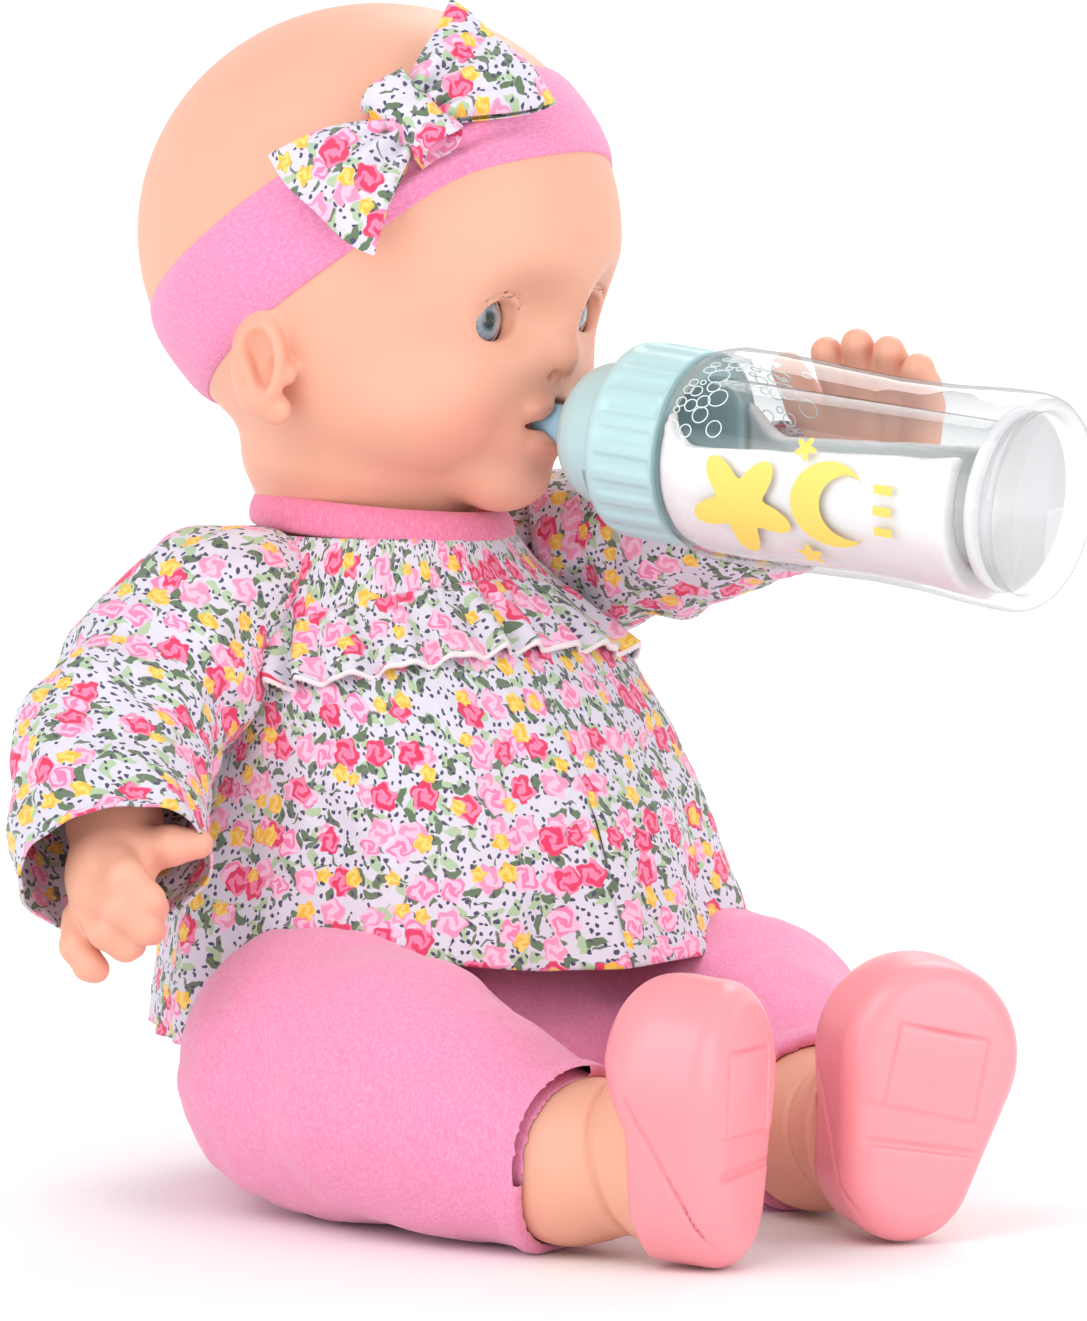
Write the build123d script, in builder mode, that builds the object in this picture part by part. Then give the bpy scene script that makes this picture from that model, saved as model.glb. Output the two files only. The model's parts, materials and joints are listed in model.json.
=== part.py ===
from build123d import *
import os
from math import cos, radians, sin

# A soft-bodied interactive baby doll, seated, in blouse, leggings, shoes and headband, with a toy
# feeding bottle in its mouth. Millimetres, +Z up. The doll faces -Y and its left side is +X. The
# origin is on the floor, at the centre of the seat.

# ---- driving dimensions ----------------------------------------------------------------------
NECK_Z = 154.0  # height of the neck's swivel plane
HEAD_TURN = 18.0  # the head is turned this far to the doll's left at rest
VINYL = 2.4  # wall of the moulded head and limbs
CLOTH = 1.8  # padded thickness of the garments
GAP = 0.4  # between garments on bodies that move apart

SKULL = (53.0, 59.0, 54.5)  # half width, half length and half height
SKULL_Z = 70.0  # above the neck plane
JAW = (43.0, 42.0, 33.0)
JAW_AT = (0.0, -9.0, 38.0)
NECK_R = 26.0
NECK_GROOVE_R = 23.0
NECK_BORE_R = 19.0
NECK_DEPTH = 10.0  # how far the neck reaches below its plane
EAR_AT = (50.0, 1.5, 41.0)

BOW_ALONG = (40, -17, 25)  # direction of the bow in the head's frame
BOW_KNOT_AT = (-36.5, -30.5, 96.0)
BOW_RIGHT_AT = (-47.5, -20.5, 84.0)
BOW_LEFT_AT = (-13.5, -37.5, 109.5)

EYE_AT = (20.5, -35.0, 51.5)  # centre of an eyeball in the head's frame
EYE_R = 9.0
IRIS_R = 4.9
IRIS_SEAT = 2.4  # depth of the iris's seat below the front of the ball
EYE_PIN_R = 1.0
EYE_PIN_CLEARANCE = 0.05
SOCKET_IN_R, SOCKET_OUT_R = 9.9, 12.5
SOCKET_FRONT, SOCKET_BACK = -3.5, 5.0  # along the eye's own axis
EYE_TUNNEL_R = 9.1
LID_R = (9.05, 9.45)
LID_OPEN = 35.0  # degrees from straight ahead up to the edge of the open lid
LID_SWEEP = 105.0

MOUTH_AT = (0.0, -45.0, 26.5)
MOUTH_BORE_R = 5.9
MOUTH_CUP_R = 7.5
LEAD_R = 1.1

BAND_TILT = 34.0  # the headband is higher at the forehead by this angle
BAND_WIDTH = 24.0
BAND_Z = 68.0
BAND_THICKNESS = 2.2

BOTTLE_TURN = 14.0  # heading of the bottle, to the doll's left
BOTTLE_DROP = 5.7  # and how far its base points down
TEAT_TIP = -10.0  # stations along the bottle, from the mouth outwards
CAP_START, CAP_END = 8.0, 23.0
COLLAR_END = 42.0
SHOULDER_END = 50.0
WAIST = 92.0
BOTTLE_END = 134.0
CAP_R, COLLAR_R, BODY_R, WAIST_R, FOOT_R = 18.0, 22.8, 25.0, 23.8, 25.3
BOTTLE_WALL = 1.5
INNER_R, INNER_WALL = 18.5, 1.2
COLLAR_RIBS = 28
GRIP_ASIDE = 35.2  # the left hand's middle from the bottle's axis

SHOULDER_L, SHOULDER_R = (55.0, 0.0, 143.0), (-57.0, 2.0, 138.0)
SHOULDER_INSET = 14.0  # the torso's armhole lies this far inside the shoulder's middle
ARMHOLE_R = 28.0
INTO_TORSO, CLEAR_OF_ALL = 60.0, 150.0  # depth and radius of the cut that trims a sleeve at the torso
HIP = (44.8, -8.0, 34.0)  # left hip; the right one mirrors it
HIP_CAVITY_R = 32.0
HIP_FACE = 13.2  # half width of the seat between the thighs
HIP_R = 31.0
STUB_R, STUB_GROOVE_R, STUB_LENGTH = 9.0, 7.0, 9.0  # flange that joins a limb to the cloth body
TIE_CLEARANCE = 0.08

SHOE_WALL, SOLE, FOOT, SHOE_HEIGHT = 2.2, 4.5, 18.0, 27.0
SHOE_OPENING, SHOE_OPENING_Y, SHOE_OPENING_CORNER = (37.0, 42.0), -5.0, 14.0
SOLE_PANEL = 1.2  # depth of the panel under the ball of the foot
SOLE_PANEL_AT, SOLE_PANEL_SIZE = (0.0, 12.0), (24.0, 26.0, 3.0)  # middle; width, length and corner
EYE_WEIGHT_AT, EYE_WEIGHT_R, EYE_WEIGHT_HALF, EYE_LEVER_HALF = (9.0, -13.0), 4.0, 5.0, 1.5

MODULE_SIZE = (54.0, 26.0, 48.0)  # sound module: width, depth, height
MODULE_AT = (0.0, 9.0, 84.0)
CASE_WALL = 1.6
BATTERY_R, BATTERY_LENGTH, BATTERIES = 5.25, 44.5, 3
SPEAKER_R, SPEAKER_Y = 9.0, 13.0
SPLIT_DEPTH = 12.0  # depth of the module's front half
BAY_LIFT = 2.5  # the batteries sit this far above the module's middle
DOOR_SIZE = (BATTERY_LENGTH + 7.0, 41.0)
DOOR_SCREW_Y = -17.8
BUTTON_R, BUTTON_DROP = 8.0, -8.0
SWITCH_SLOT = (4.0, 12.0)
SWITCH_Y = 6.0  # middle of the switch's slot behind the module's middle
SWITCH_STROKE = 5.2

# ---- frames ----------------------------------------------------------------------------------
HEAD = Location((0, 0, NECK_Z), (0, 0, HEAD_TURN))


def heading(turn, drop=0.0):
    """Unit vector forwards, turned to the doll's left and dropped by these angles."""
    level = cos(radians(drop))
    return Vector(sin(radians(turn)) * level, -cos(radians(turn)) * level, -sin(radians(drop)))


BOTTLE_AXIS = heading(BOTTLE_TURN, BOTTLE_DROP)
MOUTH = (HEAD * Location(MOUTH_AT)).position
BOTTLE = Plane(MOUTH, x_dir=Vector(0, 0, 1).cross(BOTTLE_AXIS), z_dir=BOTTLE_AXIS)
SIDE_L = Vector(cos(radians(BOTTLE_TURN)), sin(radians(BOTTLE_TURN)), 0)  # left shoulder's axis
SIDE_R = Vector(-1, 0, 0)  # right shoulder's axis, outwards


# ---- helpers ---------------------------------------------------------------------------------
def ellipsoid(where, radii):
    """A solid ellipsoid centred on the location where. It is made outside any builder."""
    return where * scale(Sphere(1), by=radii)


def tube_along(points, radii):
    """A loft through circles of these radii, at points that follow the middle of a limb."""
    centres = [Vector(*p) for p in points]
    sections = []
    for i, centre in enumerate(centres):
        ahead, behind = centres[min(i + 1, len(centres) - 1)], centres[max(i - 1, 0)]
        along = ahead - behind
        with BuildSketch(Plane(centre, x_dir=Vector(0, 0, 1).cross(along), z_dir=along)) as section:
            Circle(radii[i])
        sections.append(section.sketch.face())
    return loft(sections)


def oval_stack(stations):
    """A loft through level ovals, each given as height, middle along Y and two half widths."""
    ovals = []
    for z, middle_y, half_x, half_y in stations:
        with BuildSketch(Plane((0, middle_y, z))) as oval:
            Ellipse(half_x, half_y)
        ovals.append(oval.sketch.face())
    return loft(ovals)


def grown(stations, by):
    """The same stack of ovals, larger all round."""
    return [(z, middle_y, half_x + by, half_y + by) for z, middle_y, half_x, half_y in stations]


def across(axis, centre):
    """Plane through centre whose normal is axis."""
    return Plane(Vector(*centre), z_dir=axis)


def save(node, name):
    """Labels a finished piece and writes its STEP file."""
    node.label = name
    export_step(node, f"parts/{name}.step")


def mirrored(point):
    return (-point[0], point[1], point[2])


# ---- head ------------------------------------------------------------------------------------
def eye_plane(side):
    """Plane through an eye's centre, with its normal straight ahead and x to the doll's left."""
    x, y, z = EYE_AT
    centre = (HEAD * Location((side * x, y, z))).position
    return Plane(centre, x_dir=heading(HEAD_TURN + 90), z_dir=heading(HEAD_TURN))


def make_head_shell():
    """Hollow vinyl head with nose, ears and neck, open at the eyes, the mouth and the neck."""
    skull = ellipsoid(HEAD * Location((0, 0, SKULL_Z)), SKULL)
    jaw = ellipsoid(HEAD * Location(JAW_AT), JAW)
    nose = ellipsoid(HEAD * Location((0, -48, 40)), (6, 6, 5.5))
    ears = [
        ellipsoid(HEAD * Location((s * EAR_AT[0], EAR_AT[1], EAR_AT[2]), (0, s * 8, s * 16)), (4, 8, 12))
        for s in (-1, 1)
    ]
    hollow_skull = ellipsoid(HEAD * Location((0, 0, SKULL_Z)), tuple(r - VINYL for r in SKULL))
    hollow_jaw = ellipsoid(HEAD * Location(JAW_AT), tuple(r - VINYL for r in JAW))
    with BuildPart() as head_shell:
        add(skull)
        add(jaw)
        with BuildSketch(Plane.XY.offset(NECK_Z - NECK_DEPTH)):
            Circle(NECK_R)
        extrude(amount=NECK_DEPTH + 26)
        add(nose)
        add(ears)
        add(hollow_skull, mode=Mode.SUBTRACT)
        add(hollow_jaw, mode=Mode.SUBTRACT)
        with BuildSketch(Plane.XY.offset(NECK_Z - NECK_DEPTH)):
            Circle(NECK_BORE_R)
        extrude(amount=NECK_DEPTH + 26, mode=Mode.SUBTRACT)
        with BuildSketch(Plane.XY.offset(NECK_Z - NECK_DEPTH + 2.5)):
            Circle(NECK_R + 1)
            Circle(NECK_GROOVE_R, mode=Mode.SUBTRACT)
        extrude(amount=3.5, mode=Mode.SUBTRACT)
        for side in (-1, 1):
            with BuildSketch(eye_plane(side)):
                Circle(EYE_TUNNEL_R)
            extrude(amount=40, mode=Mode.SUBTRACT)
            with BuildSketch(eye_plane(side).offset(-SOCKET_FRONT)):
                Circle(SOCKET_OUT_R)
            extrude(amount=-20, mode=Mode.SUBTRACT)
        with BuildSketch(BOTTLE.offset(-8)):
            Circle(MOUTH_BORE_R)
        extrude(amount=30, mode=Mode.SUBTRACT)
        with BuildSketch(BOTTLE.offset(0.5)):
            Circle(MOUTH_CUP_R)
        extrude(amount=-20, mode=Mode.SUBTRACT)
    return head_shell.part


def make_eye_socket(side):
    """Ring in the head that the eyeball's pin turns in."""
    plane = eye_plane(side)
    with BuildPart() as eye_socket:
        with BuildSketch(plane.offset(-SOCKET_BACK)):
            Circle(SOCKET_OUT_R)
            Circle(SOCKET_IN_R, mode=Mode.SUBTRACT)
        extrude(amount=SOCKET_BACK - SOCKET_FRONT)
        with BuildSketch(across(plane.x_dir, plane.origin)):
            Circle(EYE_PIN_R + EYE_PIN_CLEARANCE)
        extrude(amount=SOCKET_OUT_R + 1, both=True, mode=Mode.SUBTRACT)
    return eye_socket.part


def make_eyeball(side):
    """White ball with a seat for the iris and a hole for its pin."""
    plane = eye_plane(side)
    with BuildPart(plane) as eyeball:
        Sphere(EYE_R)
        with BuildSketch(plane.offset(EYE_R - IRIS_SEAT)):
            Circle(IRIS_R)
        extrude(amount=5, mode=Mode.SUBTRACT)
        with BuildSketch(across(plane.x_dir, plane.origin)):
            Circle(EYE_PIN_R)
        extrude(amount=EYE_R + 1, both=True, mode=Mode.SUBTRACT)
    return eyeball.part


def make_iris(side):
    """Clear domed insert that carries the iris."""
    plane = eye_plane(side)
    with BuildPart() as iris:
        with BuildSketch(plane.offset(EYE_R - IRIS_SEAT)):
            Circle(IRIS_R)
        extrude(amount=1.1)
        fillet(iris.faces().sort_by(Axis(plane.origin, plane.z_dir))[-1].edges(), 0.7)
    return iris.part


def make_eyelid(side):
    """Moulded lid over the top of the ball, with the strip that carries the lashes."""
    plane = eye_plane(side)
    inner, outer = LID_R
    ahead = plane.z_dir * cos(radians(LID_OPEN)) + Vector(0, 0, sin(radians(LID_OPEN)))
    edge = Plane(plane.origin, x_dir=plane.x_dir, z_dir=plane.x_dir.cross(ahead))
    with BuildPart() as eyelid:
        with BuildSketch(edge):
            Circle(outer)
            Circle(inner, mode=Mode.SUBTRACT)
            Rectangle(2 * outer, outer, align=(Align.CENTER, Align.MAX), mode=Mode.SUBTRACT)
        revolve(axis=Axis(plane.origin, -plane.x_dir), revolution_arc=LID_SWEEP)
        with BuildSketch(edge):
            with Locations((0, outer + 1.1)):
                Rectangle(6.4, 2.5)
        extrude(amount=-0.5)
        with BuildSketch(across(plane.x_dir, plane.origin)):
            Circle(EYE_PIN_R + 0.2)
        extrude(amount=EYE_R + 1, both=True, mode=Mode.SUBTRACT)
    return eyelid.part


def make_eye_pin(side):
    """Steel pin through the ball, running in the socket's two holes."""
    plane = eye_plane(side)
    with BuildPart() as eye_pin:
        with BuildSketch(across(plane.x_dir, plane.origin)):
            Circle(EYE_PIN_R)
        extrude(amount=SOCKET_OUT_R - 0.1, both=True)
    return eye_pin.part


def make_eye_weight(side):
    """Weight on an arm behind and below the ball, which opens and shuts the eye."""
    plane = eye_plane(side)
    lever = Plane(plane.origin, x_dir=-plane.z_dir, z_dir=plane.x_dir)
    with BuildPart(plane) as eye_weight:
        with BuildSketch(lever):
            with Locations(EYE_WEIGHT_AT):
                Circle(EYE_WEIGHT_R)
        extrude(amount=EYE_WEIGHT_HALF, both=True)
        with BuildSketch(lever):
            Polygon((6, -3), (9, -5), (11, -13), (7, -13), align=None)
        extrude(amount=EYE_LEVER_HALF, both=True)
        Sphere(EYE_R, mode=Mode.SUBTRACT)
    return eye_weight.part


def make_mouth_socket():
    """Closed tube behind the lips that takes the teat or a pacifier."""
    with BuildPart() as mouth_socket:
        with BuildSketch(BOTTLE.offset(0.5)):
            Circle(MOUTH_CUP_R)
        extrude(amount=-19)
        with BuildSketch(BOTTLE.offset(0.5)):
            Circle(MOUTH_BORE_R)
        extrude(amount=-17.5, mode=Mode.SUBTRACT)
    return mouth_socket.part


def make_mouth_switch():
    """Reed switch capsule at the end of the mouth tube."""
    with BuildPart() as mouth_switch:
        with BuildSketch(BOTTLE.offset(-18.5)):
            Circle(4)
        extrude(amount=-6)
        fillet(mouth_switch.faces().sort_by(Axis(MOUTH, BOTTLE_AXIS))[0].edges(), 1)
    return mouth_switch.part


def lead(points, radius):
    """A round lead along straight runs joined by tangent arcs of half the shorter run."""
    corners = [Vector(*p) for p in points]
    bends = []
    for before, corner, after in zip(corners, corners[1:], corners[2:]):
        shorter = min((corner - before).length, (after - corner).length)
        half_turn = radians((corner - before).get_angle(after - corner) / 2)
        bends.append(0.45 * shorter * cos(half_turn) / sin(half_turn))
    with BuildPart() as wire:
        with BuildLine() as route:
            FilletPolyline(*corners, radius=bends)
        with BuildSketch(Plane(corners[0], z_dir=corners[1] - corners[0])):
            Circle(radius)
        sweep(path=route.wires()[0])
    return wire.part


def make_mouth_lead():
    """Lead from the mouth switch down the middle of the neck."""
    start = MOUTH + BOTTLE_AXIS * -24.5
    leave = MOUTH + BOTTLE_AXIS * -32
    return lead([start, leave, (0, 0, NECK_Z + 14), (0, 0, NECK_Z - 11)], LEAD_R)


def make_headband(head_shell):
    """Jersey band round the skull, tilted up at the forehead."""
    where = HEAD * Location((0, 0, SKULL_Z))
    outside = ellipsoid(where, tuple(r + BAND_THICKNESS for r in SKULL))
    inside = ellipsoid(where, SKULL)
    with BuildPart() as headband:
        with BuildSketch(Plane(HEAD * Location((0, 0, BAND_Z), (-BAND_TILT, 0, 0))).offset(-BAND_WIDTH / 2)):
            Rectangle(200, 200)
        extrude(amount=BAND_WIDTH)
        add(outside, mode=Mode.INTERSECT)
        add(inside, mode=Mode.SUBTRACT)
        add(head_shell, mode=Mode.SUBTRACT)
    return headband.part


def bow_plane(point, lift):
    """Plane lying on the skull at a point of the head's frame, x along the band."""
    x, y, z = point
    normal = Vector(x / SKULL[0] ** 2, y / SKULL[1] ** 2, (z - SKULL_Z) / SKULL[2] ** 2).normalized()
    along = Vector(*BOW_ALONG)
    local = Plane(Vector(x, y, z) + normal * lift, x_dir=along - normal * along.dot(normal), z_dir=normal)
    return Plane(HEAD * local.location)


def make_bow_loop(point, flip, under):
    """One padded loop of the bow, wider away from the knot."""
    outline = [(-13, -6), (9, -14), (13, -9), (13, 9), (9, 14), (-13, 6)]
    with BuildPart() as bow_loop:
        with BuildSketch(bow_plane(point, -3)):
            with BuildLine():
                Polyline(*[(flip * x, y) for x, y in outline], close=True)
            make_face()
        extrude(amount=12)
        add(under, mode=Mode.SUBTRACT)
    return bow_loop.part.solids().sort_by(SortBy.VOLUME)[-1]


def make_bow_knot(under):
    """Folded strip round the middle of the bow."""
    with BuildPart() as bow_knot:
        with BuildSketch(bow_plane(BOW_KNOT_AT, -3)):
            RectangleRounded(11, 22, 4)
        extrude(amount=16)
        add(under, mode=Mode.SUBTRACT)
    return bow_knot.part.solids().sort_by(SortBy.VOLUME)[-1]


# ---- bottle ----------------------------------------------------------------------------------
def turned_on_bottle(outline):
    """Solid of revolution about the bottle's axis from (radius, station) points."""
    section = Plane(BOTTLE.origin, x_dir=BOTTLE.x_dir, z_dir=-BOTTLE.y_dir)
    with BuildPart() as turned:
        with BuildSketch(section):
            with BuildLine():
                Polyline(*outline, close=True)
            make_face()
        revolve(axis=Axis(BOTTLE.origin, BOTTLE.z_dir))
    return turned.part


def make_bottle_teat():
    """Soft teat: a rounded tip that widens into the cap."""
    section = Plane(BOTTLE.origin, x_dir=BOTTLE.x_dir, z_dir=-BOTTLE.y_dir)
    with BuildPart() as bottle_teat:
        with BuildSketch(section):
            with BuildLine():
                Line((0, TEAT_TIP), (0, 14))
                Line((0, 14), (7, 14))
                Line((7, 14), (7, 8))
                Line((7, 8), (5.2, 5.5))
                Line((5.2, 5.5), (5, TEAT_TIP + 4))
                JernArc((5, TEAT_TIP + 4), (0, -1), 4, -90)
                Line((1, TEAT_TIP), (0, TEAT_TIP))
            make_face()
        revolve(axis=Axis(BOTTLE.origin, BOTTLE.z_dir))
    return bottle_teat.part


def make_bottle_cap():
    """Domed cap between the teat and the ribbed collar, with two latch slots."""
    section = Plane(BOTTLE.origin, x_dir=BOTTLE.x_dir, z_dir=-BOTTLE.y_dir)
    with BuildPart() as bottle_cap:
        with BuildSketch(section):
            with BuildLine():
                Line((7, CAP_START), (7, 14))
                Line((7, 14), (CAP_R - 2, CAP_END))
                Line((CAP_R - 2, CAP_END), (CAP_R, CAP_END))
                Line((CAP_R, CAP_END), (CAP_R - 0.6, 16))
                RadiusArc((CAP_R - 0.6, 16), (9, CAP_START), 13)
                Line((9, CAP_START), (7, CAP_START))
            make_face()
        revolve(axis=Axis(BOTTLE.origin, BOTTLE.z_dir))
        with BuildSketch(BOTTLE.offset(CAP_END - 1)):
            with PolarLocations(CAP_R, 2, start_angle=200, angular_range=24, endpoint=True):
                Rectangle(1.2, 2.4)
        extrude(amount=-5, mode=Mode.SUBTRACT)
    return bottle_cap.part


def make_bottle_collar():
    """Ribbed screw collar."""
    with BuildPart() as bottle_collar:
        with BuildSketch(BOTTLE.offset(CAP_END)):
            Circle(COLLAR_R)
            Circle(CAP_R - 2, mode=Mode.SUBTRACT)
        extrude(amount=COLLAR_END - CAP_END)
        chamfer(bottle_collar.edges().filter_by(GeomType.CIRCLE).sort_by(SortBy.RADIUS)[-2:], 1.2)
        with BuildSketch(BOTTLE.offset(CAP_END + 3)):
            with PolarLocations(COLLAR_R, COLLAR_RIBS):
                Circle(0.7)
        extrude(amount=COLLAR_END - CAP_END - 3, mode=Mode.SUBTRACT)
    return bottle_collar.part


BOTTLE_OUTSIDE = [
    (COLLAR_END, COLLAR_R - 2), (COLLAR_END + 3, BODY_R - 0.8), (SHOULDER_END, BODY_R),
    (WAIST, WAIST_R), (BOTTLE_END - 12, FOOT_R), (BOTTLE_END - 3, FOOT_R),
]


def bottle_outline(inset):
    """Side of the bottle, inset by this much, as (radius, station) points."""
    return [(radius - inset, station) for station, radius in BOTTLE_OUTSIDE]


def make_bottle_shell():
    """Clear outer wall, waisted, with a rounded foot."""
    outside, inside = bottle_outline(0), bottle_outline(BOTTLE_WALL)
    foot = [(FOOT_R - 3, BOTTLE_END), (FOOT_R - 4.5, BOTTLE_END), (FOOT_R - 4.5, BOTTLE_END - 2)]
    return turned_on_bottle(outside + foot + [(FOOT_R - 4.5, BOTTLE_END - 3)] + inside[::-1])


def make_bottle_inner():
    """Clear inner wall that holds the milk against the outer one."""
    start, end, inside = COLLAR_END, BOTTLE_END - 12, INNER_R - INNER_WALL
    return turned_on_bottle(
        [(0, start), (INNER_R, start), (INNER_R, end), (0, end), (0, end - INNER_WALL),
         (inside, end - INNER_WALL), (inside, start + INNER_WALL), (0, start + INNER_WALL)]
    )


def make_bottle_milk():
    """White liquid between the two walls, filling the lower half of the lying bottle."""
    inside = bottle_outline(BOTTLE_WALL)
    end = BOTTLE_END - 12
    outline = [(INNER_R, COLLAR_END)] + [p for p in inside if p[1] <= end] + [(INNER_R, end)]
    full = turned_on_bottle(outline)
    level = Plane((0, 0, MOUTH.Z - 4))
    with BuildPart() as bottle_milk:
        add(full)
        split(bisect_by=level, keep=Keep.BOTTOM)
    return bottle_milk.part


def make_bottle_base():
    """White disc inside the foot."""
    with BuildPart() as bottle_base:
        with BuildSketch(BOTTLE.offset(BOTTLE_END - 4.5)):
            Circle(FOOT_R - 4.5)
        extrude(amount=1.5)
    return bottle_base.part


# ---- torso -----------------------------------------------------------------------------------
BODY_OVALS = [
    (CLOTH, -2, 44, 42), (30, -7, 54, 48), (66, -10, 55, 48), (95, -9, 50, 44),
    (120, -6, 44, 37), (140, -2, 37, 31), (149, 0, 31, 29.5),
]
BLOUSE_OVALS = [
    (34, -9, 64, 56), (66, -10, 60, 53), (95, -9, 54, 48), (120, -6, 48, 41),
    (140, -2, 41, 35), (152, 0, 33.5, 32.5),
]
HEM_SLOPE = 0.235  # the blouse is longer behind
SEAT_OVALS = [(0, -2, 45, 43), (30, -7, 55.8, 49.8), (60, -10, 57, 50)]


def limb_joints():
    """Where each limb meets the body: middle of the joint, outward axis and face distance."""
    return [
        (SHOULDER_L, SIDE_L, SHOULDER_INSET),
        (SHOULDER_R, SIDE_R, SHOULDER_INSET),
        (HIP, Vector(1, 0, 0), HIP[0] - HIP_FACE),
        (mirrored(HIP), Vector(-1, 0, 0), HIP[0] - HIP_FACE),
    ]


def stub_face(centre, axis, inset):
    """Plane of a limb's inner face, with its normal pointing outwards."""
    return Plane(Vector(*centre) - axis * inset, z_dir=axis)


def leg_room():
    """Everything that the thighs sweep through, from straight ahead to hanging down."""
    top, back = HIP[2] + HIP_CAVITY_R, HIP[1] + 29
    with BuildPart() as room:
        for side in (-1, 1):
            with BuildSketch(Plane((side * HIP_FACE, HIP[1], HIP[2]), z_dir=(side, 0, 0))):
                Circle(HIP_CAVITY_R)
            extrude(amount=80)
            with BuildSketch(Plane.XY.offset(-1)):
                with Locations((side * (HIP_FACE + 40), HIP[1] - 40)):
                    Rectangle(80, 80)
            extrude(amount=top + 1)
            with BuildSketch(Plane.XY.offset(-1)):
                with Locations((side * (HIP_FACE + 40), back - 30)):
                    Rectangle(80, 60)
            extrude(amount=HIP[2] + 1)
    return room.part


def module_cavity():
    """Room for the sound module, its button and its lead inside the stuffing."""
    width, depth, height = MODULE_SIZE
    with BuildPart(Plane(MODULE_AT)) as cavity:
        Box(width + 0.4, depth + 0.4, height + 0.4)
        with Locations((0, -depth / 2 - 4, BUTTON_DROP)):
            Box(2 * BUTTON_R + 4, 8, 2 * BUTTON_R + 4)
        with Locations((width / 2, SWITCH_Y, 0)):
            Box(12, 15, 10)
    return cavity.part


def make_cloth_body():
    """Stuffed cloth torso with room for the limbs' flanges and the sound module."""
    stuffed, cavity, thighs = oval_stack(BODY_OVALS), module_cavity(), leg_room()
    with BuildPart() as cloth_body:
        add(stuffed)
        add(thighs, mode=Mode.SUBTRACT)
        for centre, axis, inset in limb_joints():
            with BuildSketch(stub_face(centre, axis, inset)):
                Circle(STUB_R + 1.5)
            extrude(amount=-STUB_LENGTH - 0.6, mode=Mode.SUBTRACT)
        for centre, axis, inset in limb_joints()[:2]:
            with BuildSketch(stub_face(centre, axis, inset)):
                Circle(ARMHOLE_R)
            extrude(amount=40, mode=Mode.SUBTRACT)
        with BuildSketch(Plane.XY.offset(NECK_Z - NECK_DEPTH - 0.6)):
            Circle(NECK_R + 1)
        extrude(amount=20, mode=Mode.SUBTRACT)
        with BuildSketch(Plane.XY.offset(MODULE_AT[2])):
            Circle(LEAD_R + 0.3)
        extrude(amount=80, mode=Mode.SUBTRACT)
        add(cavity, mode=Mode.SUBTRACT)
    return cloth_body.part


def tie_ring(plane, groove_r, outer_r, width):
    """One cable tie drawn tight in a groove, with its square head."""
    with BuildPart() as ring:
        with BuildSketch(plane):
            Circle(outer_r)
            Circle(groove_r + TIE_CLEARANCE, mode=Mode.SUBTRACT)
        extrude(amount=width)
    return ring.part


def make_neck_tie():
    """Cable tie that holds the cloth neck in the head's groove."""
    return tie_ring(Plane.XY.offset(NECK_Z - NECK_DEPTH + 2.8), NECK_GROOVE_R, NECK_R + 1, 2.9)


def make_limb_ties():
    """Four cable ties, one in the flange groove of each limb."""
    rings = [
        tie_ring(stub_face(centre, axis, inset + 5.8), STUB_GROOVE_R, STUB_R + 1.5, 2.6)
        for centre, axis, inset in limb_joints()
    ]
    return Compound(children=rings)


def make_blouse():
    """Body of the blouse, open at the neck, the armholes and the slanting hem."""
    outside, inside = oval_stack(BLOUSE_OVALS), oval_stack(grown(BLOUSE_OVALS, -CLOTH))
    hem = Plane((0, -60, 60), x_dir=(1, 0, 0), z_dir=(0, HEM_SLOPE, 1))
    thighs = leg_room()
    with BuildPart() as blouse:
        add(outside)
        add(inside, mode=Mode.SUBTRACT)
        add(thighs, mode=Mode.SUBTRACT)
        for centre, axis, inset in limb_joints()[:2]:
            with BuildSketch(stub_face(centre, axis, inset)):
                Circle(ARMHOLE_R)
            extrude(amount=60, mode=Mode.SUBTRACT)
            with BuildSketch(stub_face(centre, axis, inset)):
                Circle(STUB_R + 1.5)
            extrude(amount=-20, mode=Mode.SUBTRACT)
        split(bisect_by=hem, keep=Keep.TOP)
    return blouse.part


def make_blouse_collar():
    """Jersey neckband of the blouse."""
    with BuildPart() as blouse_collar:
        with BuildSketch(Plane.XY.offset(152)):
            Circle(32.5)
            Circle(NECK_R + 1.6, mode=Mode.SUBTRACT)
        extrude(amount=4.5)
        fillet(blouse_collar.edges().filter_by(GeomType.CIRCLE).group_by(Axis.Z)[-1], 1.2)
    return blouse_collar.part


def make_blouse_ruffle():
    """Gathered frill across the chest."""
    outside = oval_stack([(108, -8, 56, 49.5), (128, -4, 50, 43)])
    inside = oval_stack(BLOUSE_OVALS)
    with BuildPart() as blouse_ruffle:
        add(outside)
        add(inside, mode=Mode.SUBTRACT)
        with BuildSketch(Plane.XY.offset(100)):
            with Locations((0, -60)):
                Rectangle(76, 80)
        extrude(amount=40, mode=Mode.INTERSECT)
    return blouse_ruffle.part


def make_blouse_fastener():
    """Hook-and-loop strip that closes the blouse at the back."""
    outside, inside = oval_stack(grown(BLOUSE_OVALS, 1.0)), oval_stack(BLOUSE_OVALS)
    with BuildPart() as blouse_fastener:
        add(outside)
        add(inside, mode=Mode.SUBTRACT)
        with BuildSketch(Plane((0, 20, 104), x_dir=(-1, 0, 0), z_dir=(0, 1, 0))):
            RectangleRounded(14, 70, 2)
        extrude(amount=40, mode=Mode.INTERSECT)
    return blouse_fastener.part


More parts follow.
